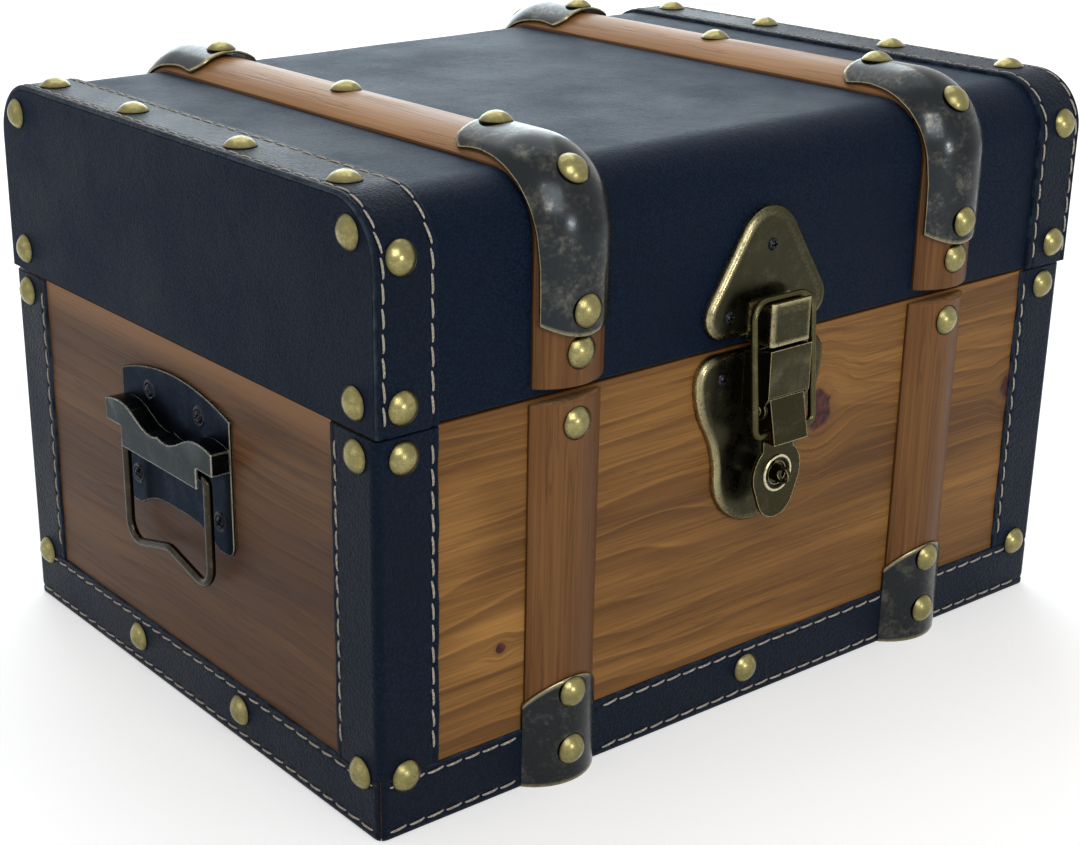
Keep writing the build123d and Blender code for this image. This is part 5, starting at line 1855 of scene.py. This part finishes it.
@dataclass
class Studio:
    """Floor, lights and the camera at the photograph's angle."""

    camera_place: Triple = (-434.0, -514.6, 315.5)
    azimuth: float = 36.99
    elevation: float = 20.77
    roll: float = -0.11
    lens: float = 65.2
    shift: tuple[float, float] = (0.0963, 0.0127)
    world: float = 0.42

    def area(self, name: str, place: Triple, size: float, power: float, colour: Colour = (1, 1, 1)) -> None:
        """Add a soft box that faces the chest.

        Args:
            name: name of the light.
            place: where it is, in metres.
            size: side of the square in metres.
            power: in watts.
            colour: colour of the light.
        """
        data = bpy.data.lights.new(name, "AREA")
        data.shape = "SQUARE"
        data.size = size
        data.energy = power
        data.color = colour
        light = bpy.data.objects.new(name, data)
        light.location = place
        light.visible_camera = False
        way = Vector((0, 0, 0.1)) - Vector(place)
        light.rotation_euler = way.to_track_quat("-Z", "Y").to_euler()
        bpy.context.scene.collection.objects.link(light)

    def floor(self) -> None:
        """A wide pale floor."""
        mesh = bpy.data.meshes.new("floor")
        half = 6.0
        corners = [(-half, -half, 0), (half, -half, 0), (half, half, 0), (-half, half, 0)]
        mesh.from_pydata(corners, [], [(0, 1, 2, 3)])
        mesh.materials.append(PaleFloor().build())
        floor = bpy.data.objects.new("floor", mesh)
        bpy.context.scene.collection.objects.link(floor)

    def sky(self) -> None:
        """Even light from all round, white where it is seen, mirrored or seen through glass."""
        world = bpy.data.worlds.new("studio")
        bpy.context.scene.world = world
        world.use_nodes = True
        tree = world.node_tree
        background = tree.nodes["Background"]
        background.inputs["Color"].default_value = (1, 1, 1, 1)
        path = tree.nodes.new("ShaderNodeLightPath").outputs
        seen = path["Is Camera Ray"]
        for ray in ("Is Glossy Ray", "Is Transmission Ray"):
            either = tree.nodes.new("ShaderNodeMath")
            either.operation = "MAXIMUM"
            tree.links.new(seen, either.inputs[0])
            tree.links.new(path[ray], either.inputs[1])
            seen = either.outputs[0]
        blend = tree.nodes.new("ShaderNodeMapRange")
        blend.inputs["To Min"].default_value = self.world
        blend.inputs["To Max"].default_value = 1.0
        tree.links.new(seen, blend.inputs["Value"])
        tree.links.new(blend.outputs[0], background.inputs["Strength"])

    def camera(self) -> None:
        """The camera, from its place, direction, roll and lens."""
        azimuth, elevation = math.radians(self.azimuth), math.radians(self.elevation)
        ahead = Vector((math.sin(azimuth) * math.cos(elevation), math.cos(azimuth) * math.cos(elevation),
                        -math.sin(elevation)))
        turn = ahead.to_track_quat("-Z", "Y").to_matrix()
        turn = turn @ Matrix.Rotation(math.radians(self.roll), 3, "Z")
        data = bpy.data.cameras.new("camera")
        data.sensor_width = 36.0
        data.lens = self.lens
        data.shift_x, data.shift_y = self.shift
        data.clip_start = 0.01
        data.clip_end = 30.0
        camera = bpy.data.objects.new("camera", data)
        camera.matrix_world = Matrix.Translation(Vector(self.camera_place) * MM) @ turn.to_4x4()
        bpy.context.scene.collection.objects.link(camera)
        bpy.context.scene.camera = camera

    def build(self) -> None:
        """Set the stage."""
        bpy.context.scene.view_settings.view_transform = "Standard"
        self.floor()
        self.sky()
        self.camera()
        self.area("key", (-0.75, -1.5, 1.35), 1.1, 17.0)
        self.area("top", (0.35, 0.75, 1.7), 1.6, 11.0)
        self.area("side", (-1.7, 0.2, 0.7), 0.9, 1.5)
        self.area("back", (0.95, 1.65, 0.85), 1.5, 19.0, colour=(0.80, 0.94, 1.0))
        self.area("window", (-0.02, -1.5, 0.33), 0.22, 3.6)


def main() -> None:
    """Build every sub-assembly in order."""
    logging.basicConfig(level=logging.INFO, format="%(name)s: %(message)s")
    for part in (Boards(), Leatherwork(), Stitching(), Straps(), MetalCaps(), Studs(), Screws(), Latch(),
                 Handles(), Hinges(), Studio()):
        LOG.info("building %s", type(part).__name__)
        part.build()


if __name__ == "__main__":
    main()
